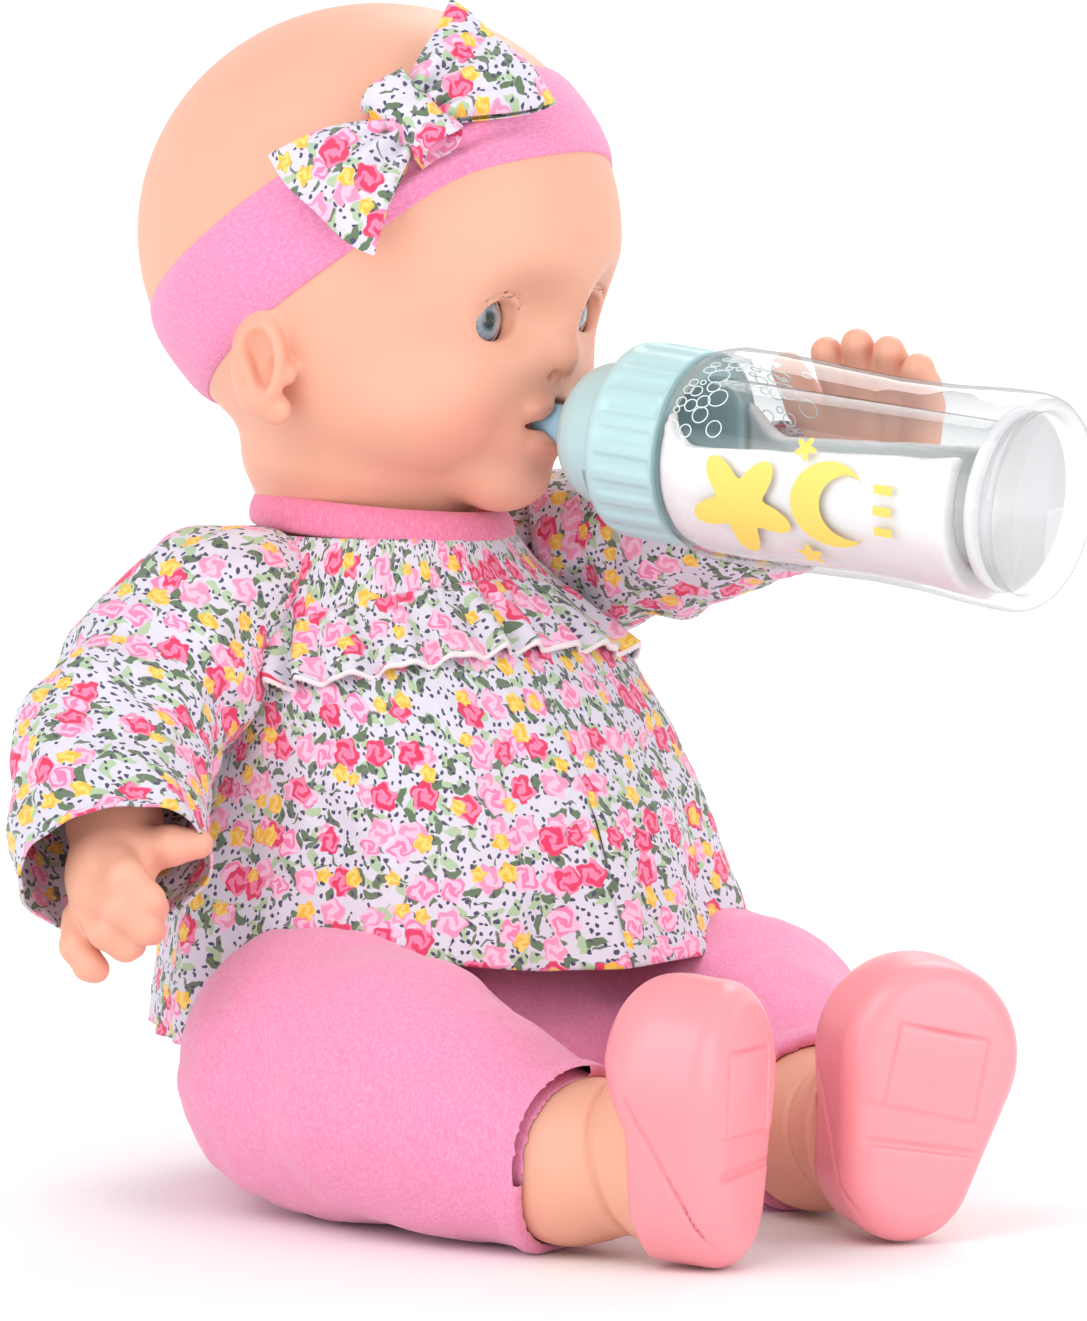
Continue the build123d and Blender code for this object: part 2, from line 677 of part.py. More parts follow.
def make_body_flap():
    """Cloth flap over the sound module's pocket."""
    outside, inside = oval_stack(grown(BODY_OVALS, 1.4)), oval_stack(BODY_OVALS)
    with BuildPart() as body_flap:
        add(outside)
        add(inside, mode=Mode.SUBTRACT)
        with BuildSketch(Plane((MODULE_AT[0], 20, MODULE_AT[2]), x_dir=(-1, 0, 0), z_dir=(0, 1, 0))):
            RectangleRounded(52, 44, 6)
        extrude(amount=60, mode=Mode.INTERSECT)
    return body_flap.part


def make_pants_seat():
    """Seat of the leggings between and behind the thighs, flat underneath."""
    outside, inside, thighs = oval_stack(SEAT_OVALS), oval_stack(BODY_OVALS), leg_room()
    with BuildPart() as pants_seat:
        add(outside)
        add(inside, mode=Mode.SUBTRACT)
        add(thighs, mode=Mode.SUBTRACT)
    return pants_seat.part


# ---- sound module ----------------------------------------------------------------------------
def module_plane(y):
    """Upright plane across the module at this depth behind its front face, facing backwards."""
    x, middle, z = MODULE_AT
    return Plane((x, middle - MODULE_SIZE[1] / 2 + y, z), x_dir=(-1, 0, 0), z_dir=(0, 1, 0))



def make_module_front_case():
    """Front half of the module: speaker grille, button hole and lead hole."""
    width, _, height = MODULE_SIZE
    with BuildPart() as module_front_case:
        with BuildSketch(module_plane(0)):
            RectangleRounded(width, height, 5)
        extrude(amount=SPLIT_DEPTH)
        with BuildSketch(module_plane(CASE_WALL)):
            RectangleRounded(width - 2 * CASE_WALL, height - 2 * CASE_WALL, 4)
        extrude(amount=SPLIT_DEPTH, mode=Mode.SUBTRACT)
        with BuildSketch(module_plane(0)):
            with Locations((0, BUTTON_DROP)):
                Circle(BUTTON_R)
            with Locations((0, SPEAKER_Y)):
                with GridLocations(4, 4, 4, 3):
                    Circle(0.9)
        extrude(amount=CASE_WALL, mode=Mode.SUBTRACT)
        with BuildSketch(Plane.XY.offset(MODULE_AT[2] + height / 2 - 5)):
            Circle(LEAD_R)
        extrude(amount=10, mode=Mode.SUBTRACT)
    return module_front_case.part


def make_module_rear_case():
    """Rear half: battery bay open to the back, switch slot and screw bosses."""
    width, depth, height = MODULE_SIZE
    rear = depth - SPLIT_DEPTH
    with BuildPart() as module_rear_case:
        with BuildSketch(module_plane(SPLIT_DEPTH)):
            RectangleRounded(width, height, 5)
        extrude(amount=rear)
        with BuildSketch(module_plane(SPLIT_DEPTH + CASE_WALL)):
            with Locations((0, BAY_LIFT)):
                Rectangle(BATTERY_LENGTH + 4.5, 2 * BATTERY_R * BATTERIES + 2.5)
        extrude(amount=rear, mode=Mode.SUBTRACT)
        with BuildSketch(module_plane(depth - CASE_WALL)):
            Rectangle(DOOR_SIZE[0] + 0.4, DOOR_SIZE[1] + 0.4)
        extrude(amount=CASE_WALL, mode=Mode.SUBTRACT)
        with BuildSketch(module_plane(depth - CASE_WALL)):
            with Locations((0, DOOR_SCREW_Y)):
                Circle(1.2)
        extrude(amount=-8, mode=Mode.SUBTRACT)
        with BuildSketch(Plane((width / 2, MODULE_AT[1] + SWITCH_Y, MODULE_AT[2]), z_dir=(1, 0, 0))):
            Rectangle(*SWITCH_SLOT)
        extrude(amount=-2.2, mode=Mode.SUBTRACT)
        with BuildSketch(module_plane(SPLIT_DEPTH)):
            with GridLocations(width - 8, height - 6, 2, 2):
                Circle(1.0)
        extrude(amount=6, mode=Mode.SUBTRACT)
    return module_rear_case.part


def make_battery_door():
    """Door over the batteries, held by one screw."""
    with BuildPart() as battery_door:
        with BuildSketch(module_plane(MODULE_SIZE[1] - CASE_WALL)):
            Rectangle(*DOOR_SIZE)
            with Locations((0, DOOR_SCREW_Y)):
                Circle(1.3, mode=Mode.SUBTRACT)
        extrude(amount=CASE_WALL)
    return battery_door.part


def make_battery_door_screw():
    """Small screw through the battery door's edge."""
    with BuildPart() as battery_door_screw:
        with BuildSketch(module_plane(MODULE_SIZE[1] - 7.5)):
            with Locations((0, DOOR_SCREW_Y)):
                Circle(1.15)
        extrude(amount=7.4)
    return battery_door_screw.part


def make_batteries():
    """Three cells side by side in the bay."""
    pitch = 2 * BATTERY_R + 0.3
    middle = SPLIT_DEPTH + CASE_WALL + BATTERY_R + 0.2
    x, y, z = MODULE_AT
    with BuildPart() as batteries:
        with BuildSketch(Plane((0, 0, 0), x_dir=(0, 1, 0), z_dir=(1, 0, 0))):
            with Locations((y - MODULE_SIZE[1] / 2 + middle, z + BAY_LIFT)):
                with GridLocations(1, pitch, 1, BATTERIES):
                    Circle(BATTERY_R)
        extrude(amount=BATTERY_LENGTH / 2, both=True)
        with BuildSketch(Plane((BATTERY_LENGTH / 2, 0, 0), x_dir=(0, 1, 0), z_dir=(1, 0, 0))):
            with Locations((y - MODULE_SIZE[1] / 2 + middle, z + BAY_LIFT)):
                with GridLocations(1, pitch, 1, BATTERIES):
                    Circle(1.9)
        extrude(amount=0.8)
    return batteries.part


def make_battery_contacts():
    """Plates at both ends of the cells."""
    middle = SPLIT_DEPTH + CASE_WALL + BATTERY_R + 0.2
    x, y, z = MODULE_AT
    with BuildPart() as battery_contacts:
        for end, start in ((1, BATTERY_LENGTH / 2 + 0.9), (-1, BATTERY_LENGTH / 2 + 0.2)):
            with BuildSketch(Plane((end * start, 0, 0), x_dir=(0, 1, 0), z_dir=(end, 0, 0))):
                with Locations((y - MODULE_SIZE[1] / 2 + middle, end * (z + BAY_LIFT))):
                    with GridLocations(1, 2 * BATTERY_R + 0.3, 1, BATTERIES):
                        Rectangle(7, 8)
            extrude(amount=0.5)
    return battery_contacts.part


def make_circuit_board():
    """Board with the sound chip and the tact switch behind the tummy button."""
    with BuildPart() as circuit_board:
        with BuildSketch(module_plane(SPLIT_DEPTH - 2.2)):
            RectangleRounded(46, 40, 2)
        extrude(amount=1.6)
        with BuildSketch(module_plane(SPLIT_DEPTH - 2.2)):
            with Locations((0, BUTTON_DROP)):
                Rectangle(6, 6)
            with Locations((17, -8), (-17, -8)):
                Rectangle(5, 8)
        extrude(amount=-1.5)
    return circuit_board.part


def make_speaker():
    """Small loudspeaker behind the grille."""
    with BuildPart() as speaker:
        with BuildSketch(module_plane(CASE_WALL)):
            with Locations((0, SPEAKER_Y)):
                Circle(SPEAKER_R)
        extrude(amount=3)
        with BuildSketch(module_plane(CASE_WALL)):
            with Locations((0, SPEAKER_Y)):
                Circle(SPEAKER_R - 3.5)
        extrude(amount=5.5)
    return speaker.part


def make_module_screws():
    """Four screws that join the two halves of the module."""
    width, _, height = MODULE_SIZE
    with BuildPart() as module_screws:
        with BuildSketch(module_plane(SPLIT_DEPTH)):
            with GridLocations(width - 8, height - 6, 2, 2):
                Circle(0.95)
        extrude(amount=5.5)
    return module_screws.part


def make_tummy_button():
    """Large press button on the front of the module, worked through the stuffing."""
    with BuildPart() as tummy_button:
        with BuildSketch(module_plane(-3)):
            with Locations((0, BUTTON_DROP)):
                Circle(BUTTON_R - 0.15)
        extrude(amount=3 + CASE_WALL)
        with BuildSketch(module_plane(CASE_WALL + 0.05)):
            with Locations((0, BUTTON_DROP)):
                Circle(BUTTON_R + 0.9)
                Circle(3, mode=Mode.SUBTRACT)
        extrude(amount=1.0)
        with BuildSketch(module_plane(CASE_WALL)):
            with Locations((0, BUTTON_DROP)):
                Circle(3)
        extrude(amount=4.4)
        fillet(tummy_button.faces().sort_by(Axis.Y)[0].edges(), 1.5)
    return tummy_button.part


def make_power_switch():
    """Sliding on and off switch on the side of the module."""
    face = MODULE_SIZE[0] / 2
    with BuildPart() as power_switch:
        start = MODULE_AT[1] + SWITCH_Y - SWITCH_STROKE / 2
        with BuildSketch(Plane((face - 2, start, MODULE_AT[2]), z_dir=(1, 0, 0))):
            Rectangle(SWITCH_SLOT[0] - 0.3, 6)
        extrude(amount=4)
    return power_switch.part


def make_body_lead():
    """Lead from the neck straight down to the sound module."""
    bottom = MODULE_AT[2] + MODULE_SIZE[2] / 2 - CASE_WALL
    with BuildPart() as body_lead:
        with BuildSketch(Plane.XY.offset(bottom)):
            Circle(LEAD_R)
        extrude(amount=NECK_Z - 11.5 - bottom)
    return body_lead.part


# ---- limbs -----------------------------------------------------------------------------------
def limb_stub(centre, axis, inset):
    """Grooved flange that turns inside a cable tie."""
    face = stub_face(centre, axis, inset)
    with BuildPart() as stub:
        with BuildSketch(face):
            Circle(STUB_R)
        extrude(amount=-STUB_LENGTH)
        with BuildSketch(face.offset(-3)):
            Circle(STUB_R + 1)
            Circle(STUB_GROOVE_R, mode=Mode.SUBTRACT)
        extrude(amount=-3, mode=Mode.SUBTRACT)
        with BuildSketch(face):
            Circle(STUB_R)
        extrude(amount=inset)
    return stub.part


def capsule(start, end, radius):
    """A rod with round ends."""
    a, b = Vector(*start), Vector(*end)
    with BuildPart() as rod:
        with BuildSketch(Plane(a, z_dir=b - a)):
            Circle(radius)
        extrude(amount=(b - a).length)
        with Locations(a, b):
            Sphere(radius)
    return rod.part


def make_arm(centre, axis, path, radii, palm, fingers):
    """Vinyl arm with its hand: a palm and five fingers."""
    outside = tube_along(path, radii)
    rods = [capsule(*finger) for finger in fingers]
    stub = limb_stub(centre, axis, SHOULDER_INSET)
    palm_solid = ellipsoid(*palm)
    with BuildPart() as arm:
        add(outside)
        with Locations(Vector(*path[0])):
            Sphere(radii[0] + 1.5)
        add(palm_solid)
        add(rods)
        add(stub)
    return arm.part


def make_sleeve(arm, centre, axis, path, radii):
    """Sleeve round the arm: a round cap at the shoulder and an open cuff."""
    outside = tube_along(path, radii)
    with BuildPart() as sleeve:
        add(outside)
        with Locations(Vector(*centre)):
            Sphere(radii[0] + 2.5)
        with BuildSketch(stub_face(centre, axis, SHOULDER_INSET - GAP)):
            Circle(ARMHOLE_R)
        extrude(amount=-INTO_TORSO, mode=Mode.SUBTRACT)
        with BuildSketch(stub_face(centre, axis, SHOULDER_INSET + 6)):
            Circle(CLEAR_OF_ALL)
        extrude(amount=-INTO_TORSO, mode=Mode.SUBTRACT)
        add(arm, mode=Mode.SUBTRACT)
    return sleeve.part.solids().sort_by(SortBy.VOLUME)[-1]


def shoe_plane(sole, inward):
    """Frame of a shoe: on the sole, normal towards the ankle, y towards the toe."""
    normal = Vector(*inward).normalized()
    return Plane(Vector(*sole), x_dir=Vector(0, 0, 1).cross(normal), z_dir=normal)


def sole_outline(inset):
    """Egg-shaped outline of a shoe, wide at the toe, narrower at the heel."""
    with BuildSketch() as outline:
        with Locations((0, 10.5)):
            Circle(22 - inset)
        with Locations((0, -15.5)):
            Circle(16.5 - inset)
        make_hull()
    return outline.sketch


def make_leg(path, radii, shoe):
    """Hollow vinyl calf, open at the top, with its foot."""
    outside, hollow = tube_along(path, radii), tube_along(path, [r - VINYL for r in radii])
    foot_outline = sole_outline(SHOE_WALL)
    with BuildPart() as leg:
        add(outside)
        with BuildSketch(shoe.offset(SOLE)):
            add(foot_outline)
        extrude(amount=FOOT)
        add(hollow, mode=Mode.SUBTRACT)
    return leg.part


def make_thigh(path, radii, calf_path, calf_radii, centre, axis):
    """Stuffed cloth thigh with the flange that joins it to the body; it fills the calf too."""
    outside = tube_along(path, radii)
    filling = tube_along(calf_path, [r - VINYL for r in calf_radii])
    calf = tube_along(calf_path, calf_radii)
    stub = limb_stub(centre, axis, HIP[0] - HIP_FACE)
    with BuildPart() as thigh:
        add(outside)
        add(stub)
        add(calf, mode=Mode.SUBTRACT)
        add(filling)
    return thigh.part


def make_pants_leg(inside, centre, path, radii):
    """Leg of the leggings, from the round hip to the cuff; the sphere's seam faces away from the seat."""
    outside = tube_along(path, radii)
    seam = 0 if centre[0] > 0 else 180
    with BuildPart() as pants_leg:
        add(outside)
        with Locations(Location(Vector(*centre), (0, 0, seam))):
            Sphere(HIP_R)
        add(inside, mode=Mode.SUBTRACT)
    return pants_leg.part.solids().sort_by(SortBy.VOLUME)[-1]


def make_shoe(shoe):
    """Moulded slip-on shoe with a thick sole and an open instep."""
    outline, foot_outline = sole_outline(0), sole_outline(SHOE_WALL)
    with BuildPart() as shoe_part:
        with BuildSketch(shoe):
            add(outline)
        extrude(amount=SHOE_HEIGHT)
        fillet(shoe_part.faces().sort_by(Axis(shoe.origin, shoe.z_dir))[-1].edges(), 3)
        with BuildSketch(shoe.offset(SOLE)):
            add(foot_outline)
        extrude(amount=FOOT, mode=Mode.SUBTRACT)
        with BuildSketch(shoe.offset(SOLE)):
            with Locations((0, SHOE_OPENING_Y)):
                RectangleRounded(*SHOE_OPENING, SHOE_OPENING_CORNER)
        extrude(amount=SHOE_HEIGHT, mode=Mode.SUBTRACT)
        with BuildSketch(shoe):
            with Locations(SOLE_PANEL_AT):
                RectangleRounded(*SOLE_PANEL_SIZE)
        extrude(amount=SOLE_PANEL, mode=Mode.SUBTRACT)
    return shoe_part.part


ARM_L_PATH = [SHOULDER_L, (60, -30, 149), (64, -58, 156), (66, -94, 170)]
ARM_R_PATH = [SHOULDER_R, (-72, -1, 122), (-86, -6, 106), (-105, -32, 87)]
ARM_RADII = [10.0, 11.0, 11.5, 10.0]
SLEEVE_L_PATH = [SHOULDER_L, (60, -30, 149), (64, -56, 155), (65.5, -72, 161)]
SLEEVE_R_PATH = [SHOULDER_R, (-72, -1, 122), (-87, -7, 105), (-99, -22, 92)]
SLEEVE_RADII = [19.5, 20.0, 19.5, 19.5]
THIGH_L_PATH = [HIP, (52, -40, 33), (50.5, -66, 32)]
THIGH_R_PATH = [mirrored(HIP), (-53, -40, 33), (-55.5, -66, 32)]
THIGH_RADII = [23.0, 24.0, 21.5]
LEG_L_PATH = [(50.5, -64, 32), (45, -92, 29), (33, -121, 27), (20, -151, 27)]
LEG_R_PATH = [(-55.5, -64, 32), (-56, -90, 29), (-53, -116, 27), (-48, -143, 27)]
LEG_RADII = [22.0, 20.0, 17.5, 16.5]
PANTS_L_PATH = [HIP, (52, -40, 33), (50.5, -72, 32), (41, -100, 29.5), (28, -127, 27)]
PANTS_R_PATH = [mirrored(HIP), (-53, -40, 33), (-57, -72, 32), (-57, -100, 29), (-52, -127, 27)]
PANTS_RADII = [28.5, 30.0, 28.0, 25.0, 22.0]
SHOE_L = shoe_plane((14, -169, 32), (0.33, 0.94, 0))
SHOE_R = shoe_plane((-44, -160, 32), (-0.24, 0.97, 0))


def left_hand():
    """Palm beside the bottle and fingers pointing up past it."""
    grip = MOUTH + BOTTLE_AXIS * 71 + SIDE_L * GRIP_ASIDE
    palm = (Location(grip, (0, 0, BOTTLE_TURN)), (8.5, 17, 17))
    fingers = []
    for step in (-12, -4, 4, 12):
        root = grip + BOTTLE_AXIS * step + SIDE_L
        reach = 32 - abs(step) / 3
        fingers.append((root, root + Vector(0, 0, reach) - SIDE_L * 1.5, 4.4 - abs(step) * 0.02))
    thumb = grip - BOTTLE_AXIS * 8
    fingers.append((thumb, thumb - BOTTLE_AXIS * 14 + Vector(0, 0, 16), 4.9))
    return palm, fingers


def right_hand():
    """Relaxed hand with its fingers curled down."""
    palm_at = Vector(-108, -36, 83)
    palm = (Location(palm_at), (13, 15, 10.5))
    fingers = []
    for step in range(4):
        root = palm_at + Vector(8 - 6.2 * step, -6 - step, -2)
        fingers.append((root, root + Vector(3 - 2 * step, -10, -16 - step), 4.4 - 0.1 * step))
    fingers.append((palm_at + Vector(4, 0, 2), palm_at + Vector(17, -13, 5), 4.9))
    return palm, fingers


def write_head():
    head_shell = make_head_shell()
    headband = make_headband(head_shell)
    under_bow = head_shell + headband
    bow_knot = make_bow_knot(under_bow)
    save(head_shell, "head_shell")
    save(make_mouth_socket(), "mouth_socket")
    save(make_mouth_switch(), "mouth_switch")
    save(make_mouth_lead(), "mouth_lead")
    save(headband, "headband")
    save(make_bow_loop(BOW_RIGHT_AT, -1, under_bow + bow_knot), "bow_right_loop")
    save(make_bow_loop(BOW_LEFT_AT, 1, under_bow + bow_knot), "bow_left_loop")
    save(bow_knot, "bow_knot")
    for side, name in ((1, "left"), (-1, "right")):
        save(make_eye_socket(side), f"{name}_eye_socket")
        save(make_eyeball(side), f"{name}_eyeball")
        save(make_iris(side), f"{name}_iris")
        save(make_eyelid(side), f"{name}_eyelid")
        save(make_eye_pin(side), f"{name}_eye_pin")
        save(make_eye_weight(side), f"{name}_eye_weight")


def write_bottle():
    save(make_bottle_teat(), "bottle_teat")
    save(make_bottle_cap(), "bottle_cap")
    save(make_bottle_collar(), "bottle_collar")
    save(make_bottle_shell(), "bottle_shell")
    save(make_bottle_inner(), "bottle_inner")
    save(make_bottle_milk(), "bottle_milk")
    save(make_bottle_base(), "bottle_base")


def write_torso():
    save(make_cloth_body(), "cloth_body")
    save(make_neck_tie(), "neck_tie")
    save(make_limb_ties(), "limb_ties")
    save(make_blouse(), "blouse")
    save(make_blouse_collar(), "blouse_collar")
    save(make_blouse_ruffle(), "blouse_ruffle")
    save(make_blouse_fastener(), "blouse_fastener")
    save(make_body_flap(), "body_flap")
    save(make_pants_seat(), "pants_seat")
    save(make_module_front_case(), "module_front_case")
    save(make_module_rear_case(), "module_rear_case")
    save(make_battery_door(), "battery_door")
    save(make_battery_door_screw(), "battery_door_screw")
    save(make_batteries(), "batteries")
    save(make_battery_contacts(), "battery_contacts")
    save(make_circuit_board(), "circuit_board")
    save(make_speaker(), "speaker")
    save(make_module_screws(), "module_screws")
    save(make_tummy_button(), "tummy_button")
    save(make_power_switch(), "power_switch")
    save(make_body_lead(), "body_lead")


def write_limbs():
    left_arm = make_arm(SHOULDER_L, SIDE_L, ARM_L_PATH, ARM_RADII, *left_hand())
    right_arm = make_arm(SHOULDER_R, SIDE_R, ARM_R_PATH, ARM_RADII, *right_hand())
    save(left_arm, "left_arm")
    save(right_arm, "right_arm")
    save(make_sleeve(left_arm, SHOULDER_L, SIDE_L, SLEEVE_L_PATH, SLEEVE_RADII), "left_sleeve")
    save(make_sleeve(right_arm, SHOULDER_R, SIDE_R, SLEEVE_R_PATH, SLEEVE_RADII), "right_sleeve")
    for name, side, hip, thigh_path, leg_path, pants_path, shoe in (
        ("left", 1, HIP, THIGH_L_PATH, LEG_L_PATH, PANTS_L_PATH, SHOE_L),
        ("right", -1, mirrored(HIP), THIGH_R_PATH, LEG_R_PATH, PANTS_R_PATH, SHOE_R),
    ):
        leg = make_leg(leg_path, LEG_RADII, shoe)
        thigh = make_thigh(thigh_path, THIGH_RADII, leg_path, LEG_RADII, hip, Vector(side, 0, 0))
        save(leg, f"{name}_leg")
        save(thigh, f"{name}_thigh")
        save(make_pants_leg(leg + thigh, hip, pants_path, PANTS_RADII), f"{name}_pants_leg")
        save(make_shoe(shoe), f"{name}_shoe")


os.makedirs("parts", exist_ok=True)
write_head()
write_bottle()
write_torso()
write_limbs()
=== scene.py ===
import json
import math

import bmesh
import bpy
import numpy as np
from mathutils import Matrix, Vector


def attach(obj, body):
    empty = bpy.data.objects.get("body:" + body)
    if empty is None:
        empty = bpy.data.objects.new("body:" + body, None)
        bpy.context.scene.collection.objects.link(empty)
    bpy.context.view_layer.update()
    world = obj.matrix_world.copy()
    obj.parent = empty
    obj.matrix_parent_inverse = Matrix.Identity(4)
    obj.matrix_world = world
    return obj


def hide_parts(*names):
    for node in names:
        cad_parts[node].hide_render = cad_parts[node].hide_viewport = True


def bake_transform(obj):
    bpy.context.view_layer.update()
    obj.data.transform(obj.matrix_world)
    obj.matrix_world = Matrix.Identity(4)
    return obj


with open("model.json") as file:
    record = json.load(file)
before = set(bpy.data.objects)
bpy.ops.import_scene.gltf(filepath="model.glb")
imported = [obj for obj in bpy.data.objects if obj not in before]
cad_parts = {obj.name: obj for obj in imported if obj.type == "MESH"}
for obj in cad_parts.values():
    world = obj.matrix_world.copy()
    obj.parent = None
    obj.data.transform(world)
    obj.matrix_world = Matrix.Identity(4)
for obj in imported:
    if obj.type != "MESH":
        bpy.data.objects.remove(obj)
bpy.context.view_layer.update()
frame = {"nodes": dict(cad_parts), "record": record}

MM = 0.001
WELD = 0.00002  # points nearer than this become one
SKULL_CENTRE, SKULL_RADII = (0, 0, 70), (53, 59, 54.5)
PRINT_LIFT = 0.06  # how far the printed shapes stand off the bottle
PRINT_ANGLE = math.radians(197)  # the side of the bottle that faces the camera

# The photograph's camera: azimuth, elevation, distance and aim, in the row frame.
AZIMUTH, ELEVATION, DISTANCE = math.radians(-42), math.radians(5.5), 2.0
LENS = 227.1
AIM_RIGHT, AIM_UP = 0.039, 0.1215

NECK = np.array([0.0, 0.0, 154.0])
TURN = math.radians(18)  # the head's turn to the doll's left
EYES = {"left": (20.5, -35.0, 51.5), "right": (-20.5, -35.0, 51.5)}
EYE_R = 9.0
GAZE = -15  # the eyes look this many degrees to the doll's right
BOTTLE_TURN, BOTTLE_DROP = math.radians(14), math.radians(5.7)
MOUTH_LOCAL = (0.0, -45.0, 26.5)
BOTTLE_OUT = 0.003  # how far the bottle stands off the lips


# ---- camera, light and floor ---------------------------------------------------------------------
def make_stage():
    back = Vector((math.sin(AZIMUTH) * math.cos(ELEVATION), -math.cos(AZIMUTH) * math.cos(ELEVATION),
                   math.sin(ELEVATION)))
    right = Vector((math.cos(AZIMUTH), math.sin(AZIMUTH), 0))
    up = back.cross(right)
    aim = right * AIM_RIGHT + up * AIM_UP
    data = bpy.data.cameras.new("camera")
    data.lens, data.sensor_width, data.clip_end = LENS, 36.0, 60.0
    camera = bpy.data.objects.new("camera", data)
    camera.matrix_world = Matrix.Translation(aim + back * DISTANCE) @ Matrix((right, up, back)).transposed().to_4x4()
    bpy.context.scene.collection.objects.link(camera)
    bpy.context.scene.camera = camera

    n, half, rise = 48, 12.0, 4.0
    rows = [(-half, 0.0), (2.0, 0.0)]
    rows += [(2.0 + rise * math.sin(a), rise * (1 - math.cos(a))) for a in np.linspace(0.05, 1.5, n)]
    turn = Matrix.Rotation(AZIMUTH, 3, "Z")
    verts = [turn @ Vector((x, y, z)) for y, z in rows for x in (-half, half)]
    faces = [(2 * i, 2 * i + 1, 2 * i + 3, 2 * i + 2) for i in range(len(rows) - 1)]
    mesh = bpy.data.meshes.new("floor")
    mesh.from_pydata(verts, [], faces)
    mesh.polygons.foreach_set("use_smooth", [True] * len(faces))
    floor = bpy.data.objects.new("floor", mesh)
    bpy.context.scene.collection.objects.link(floor)
    mat = bpy.data.materials.new("floor")
    mat.use_nodes = True
    shader = mat.node_tree.nodes["Principled BSDF"]
    shader.inputs["Base Color"].default_value = (0.93, 0.93, 0.935, 1)
    shader.inputs["Roughness"].default_value = 0.7
    shader.inputs["Specular IOR Level"].default_value = 0.15
    n = Nodes(mat.node_tree)
    # painted light: the floor glows, not at all within 0.25 m of the doll and up to 0.32 beyond 1.3 m, so it reads
    # white far off while the shadow near the doll stays
    away = n.vector("LENGTH", n.new("ShaderNodeTexCoord").outputs["Object"])
    shader.inputs["Emission Color"].default_value = (1, 1, 1, 1)
    n.put(n.math("MULTIPLY", n.step(away, 0.25, 1.3), 0.32), shader.inputs["Emission Strength"])
    mesh.materials.append(mat)

    def area(name, place, size, power, colour=(1, 1, 1)):
        lamp = bpy.data.lights.new(name, "AREA")
        lamp.shape, lamp.size, lamp.size_y = "RECTANGLE", size, size
        lamp.energy, lamp.color = power, colour
        obj = bpy.data.objects.new(name, lamp)
        spot = aim + right * place[0] + Vector((0, 0, 1)) * place[1] + back * place[2]
        obj.matrix_world = Matrix.Translation(spot) @ (spot - aim).to_track_quat("Z", "Y").to_matrix().to_4x4()
        bpy.context.scene.collection.objects.link(obj)
        return obj

    area("key", (-0.9, 1.5, 1.3), 1.4, 15)
    area("fill", (1.5, 0.35, 1.3), 1.6, 17)
    area("low", (-1.3, 0.1, 1.2), 1.4, 9)
    area("rim", (0.5, 1.5, -1.3), 1.2, 12)
    world = bpy.data.worlds.new("world")
    world.use_nodes = True
    world.node_tree.nodes["Background"].inputs[0].default_value = (1.0, 1.0, 1.0, 1)
    world.node_tree.nodes["Background"].inputs[1].default_value = 0.72
    bpy.context.scene.world = world
    bpy.context.scene.view_settings.view_transform = "Standard"


# ---- numeric helpers -----------------------------------------------------------------------------
def head_to_row(p):
    p = np.asarray(p, float)
    c, s = math.cos(TURN), math.sin(TURN)
    return np.stack([c * p[..., 0] - s * p[..., 1], s * p[..., 0] + c * p[..., 1], p[..., 2]], -1) + NECK


def smin(a, b, k):
    h = np.clip(0.5 + 0.5 * (b - a) / k, 0, 1)
    return b * (1 - h) + a * h - k * h * (1 - h)


def cut(a, b, k=0.5):
    return -smin(-a, b, k)


def ellipsoid(p, centre, radii, rot=None):
    q = p - np.array(centre)
    if rot is not None:
        q = q @ rot
    r = np.array(radii)
    k0 = np.sqrt(((q / r) ** 2).sum(-1)) + 1e-9
    k1 = np.sqrt(((q / r**2) ** 2).sum(-1)) + 1e-9
    return k0 * (k0 - 1) / k1


def cone(p, a, b, ra, rb):
    """Rounded rod from a to b whose radius goes from ra to rb."""
    a, b = np.array(a, float), np.array(b, float)
    ab = b - a
    t = np.clip(((p - a) @ ab) / (ab @ ab), 0, 1)
    near = a + t[..., None] * ab
    return np.sqrt(((p - near) ** 2).sum(-1)) - (ra + (rb - ra) * t)


def chain(p, points, radii, k=2.0):
    d = cone(p, points[0], points[1], radii[0], radii[1])
    for i in range(1, len(points) - 1):
        d = smin(d, cone(p, points[i], points[i + 1], radii[i], radii[i + 1]), k)
    return d


def rotation(axis, degrees):
    return np.array(Matrix.Rotation(math.radians(degrees), 3, axis))


_perm = np.random.RandomState(7).permutation(256)
_perm = np.concatenate([_perm, _perm])
_grad = np.random.RandomState(8).normal(size=(256, 3))
_grad /= np.linalg.norm(_grad, axis=1)[:, None]


def noise(p):
    """Smooth seeded noise, about -0.6 to 0.6, at points given in lattice units."""
    p = np.asarray(p, float)
    i = np.floor(p).astype(int)
    f = p - i
    w = f**3 * (f * (f * 6 - 15) + 10)
    total = np.zeros(p.shape[:-1])
    for dx in (0, 1):
        for dy in (0, 1):
            for dz in (0, 1):
                key = _perm[(_perm[(_perm[(i[..., 0] + dx) & 255] + i[..., 1] + dy) & 255] + i[..., 2] + dz) & 255]
                g = _grad[key]
                d = (g * (f - np.array([dx, dy, dz]))).sum(-1)
                weight = ((w[..., 0] if dx else 1 - w[..., 0]) * (w[..., 1] if dy else 1 - w[..., 1])
                          * (w[..., 2] if dz else 1 - w[..., 2]))
                total += d * weight
    return total


def stack(*parts):
    """Arrays spread to one shape and stacked along a new last axis."""
    return np.stack(np.broadcast_arrays(*parts), -1)


def swirl(theta, around, height, shift=0.0):
    """Noise on a cylinder, so that it closes where the angle comes round."""
    return noise(stack(np.cos(theta) * around + shift, np.sin(theta) * around, height))


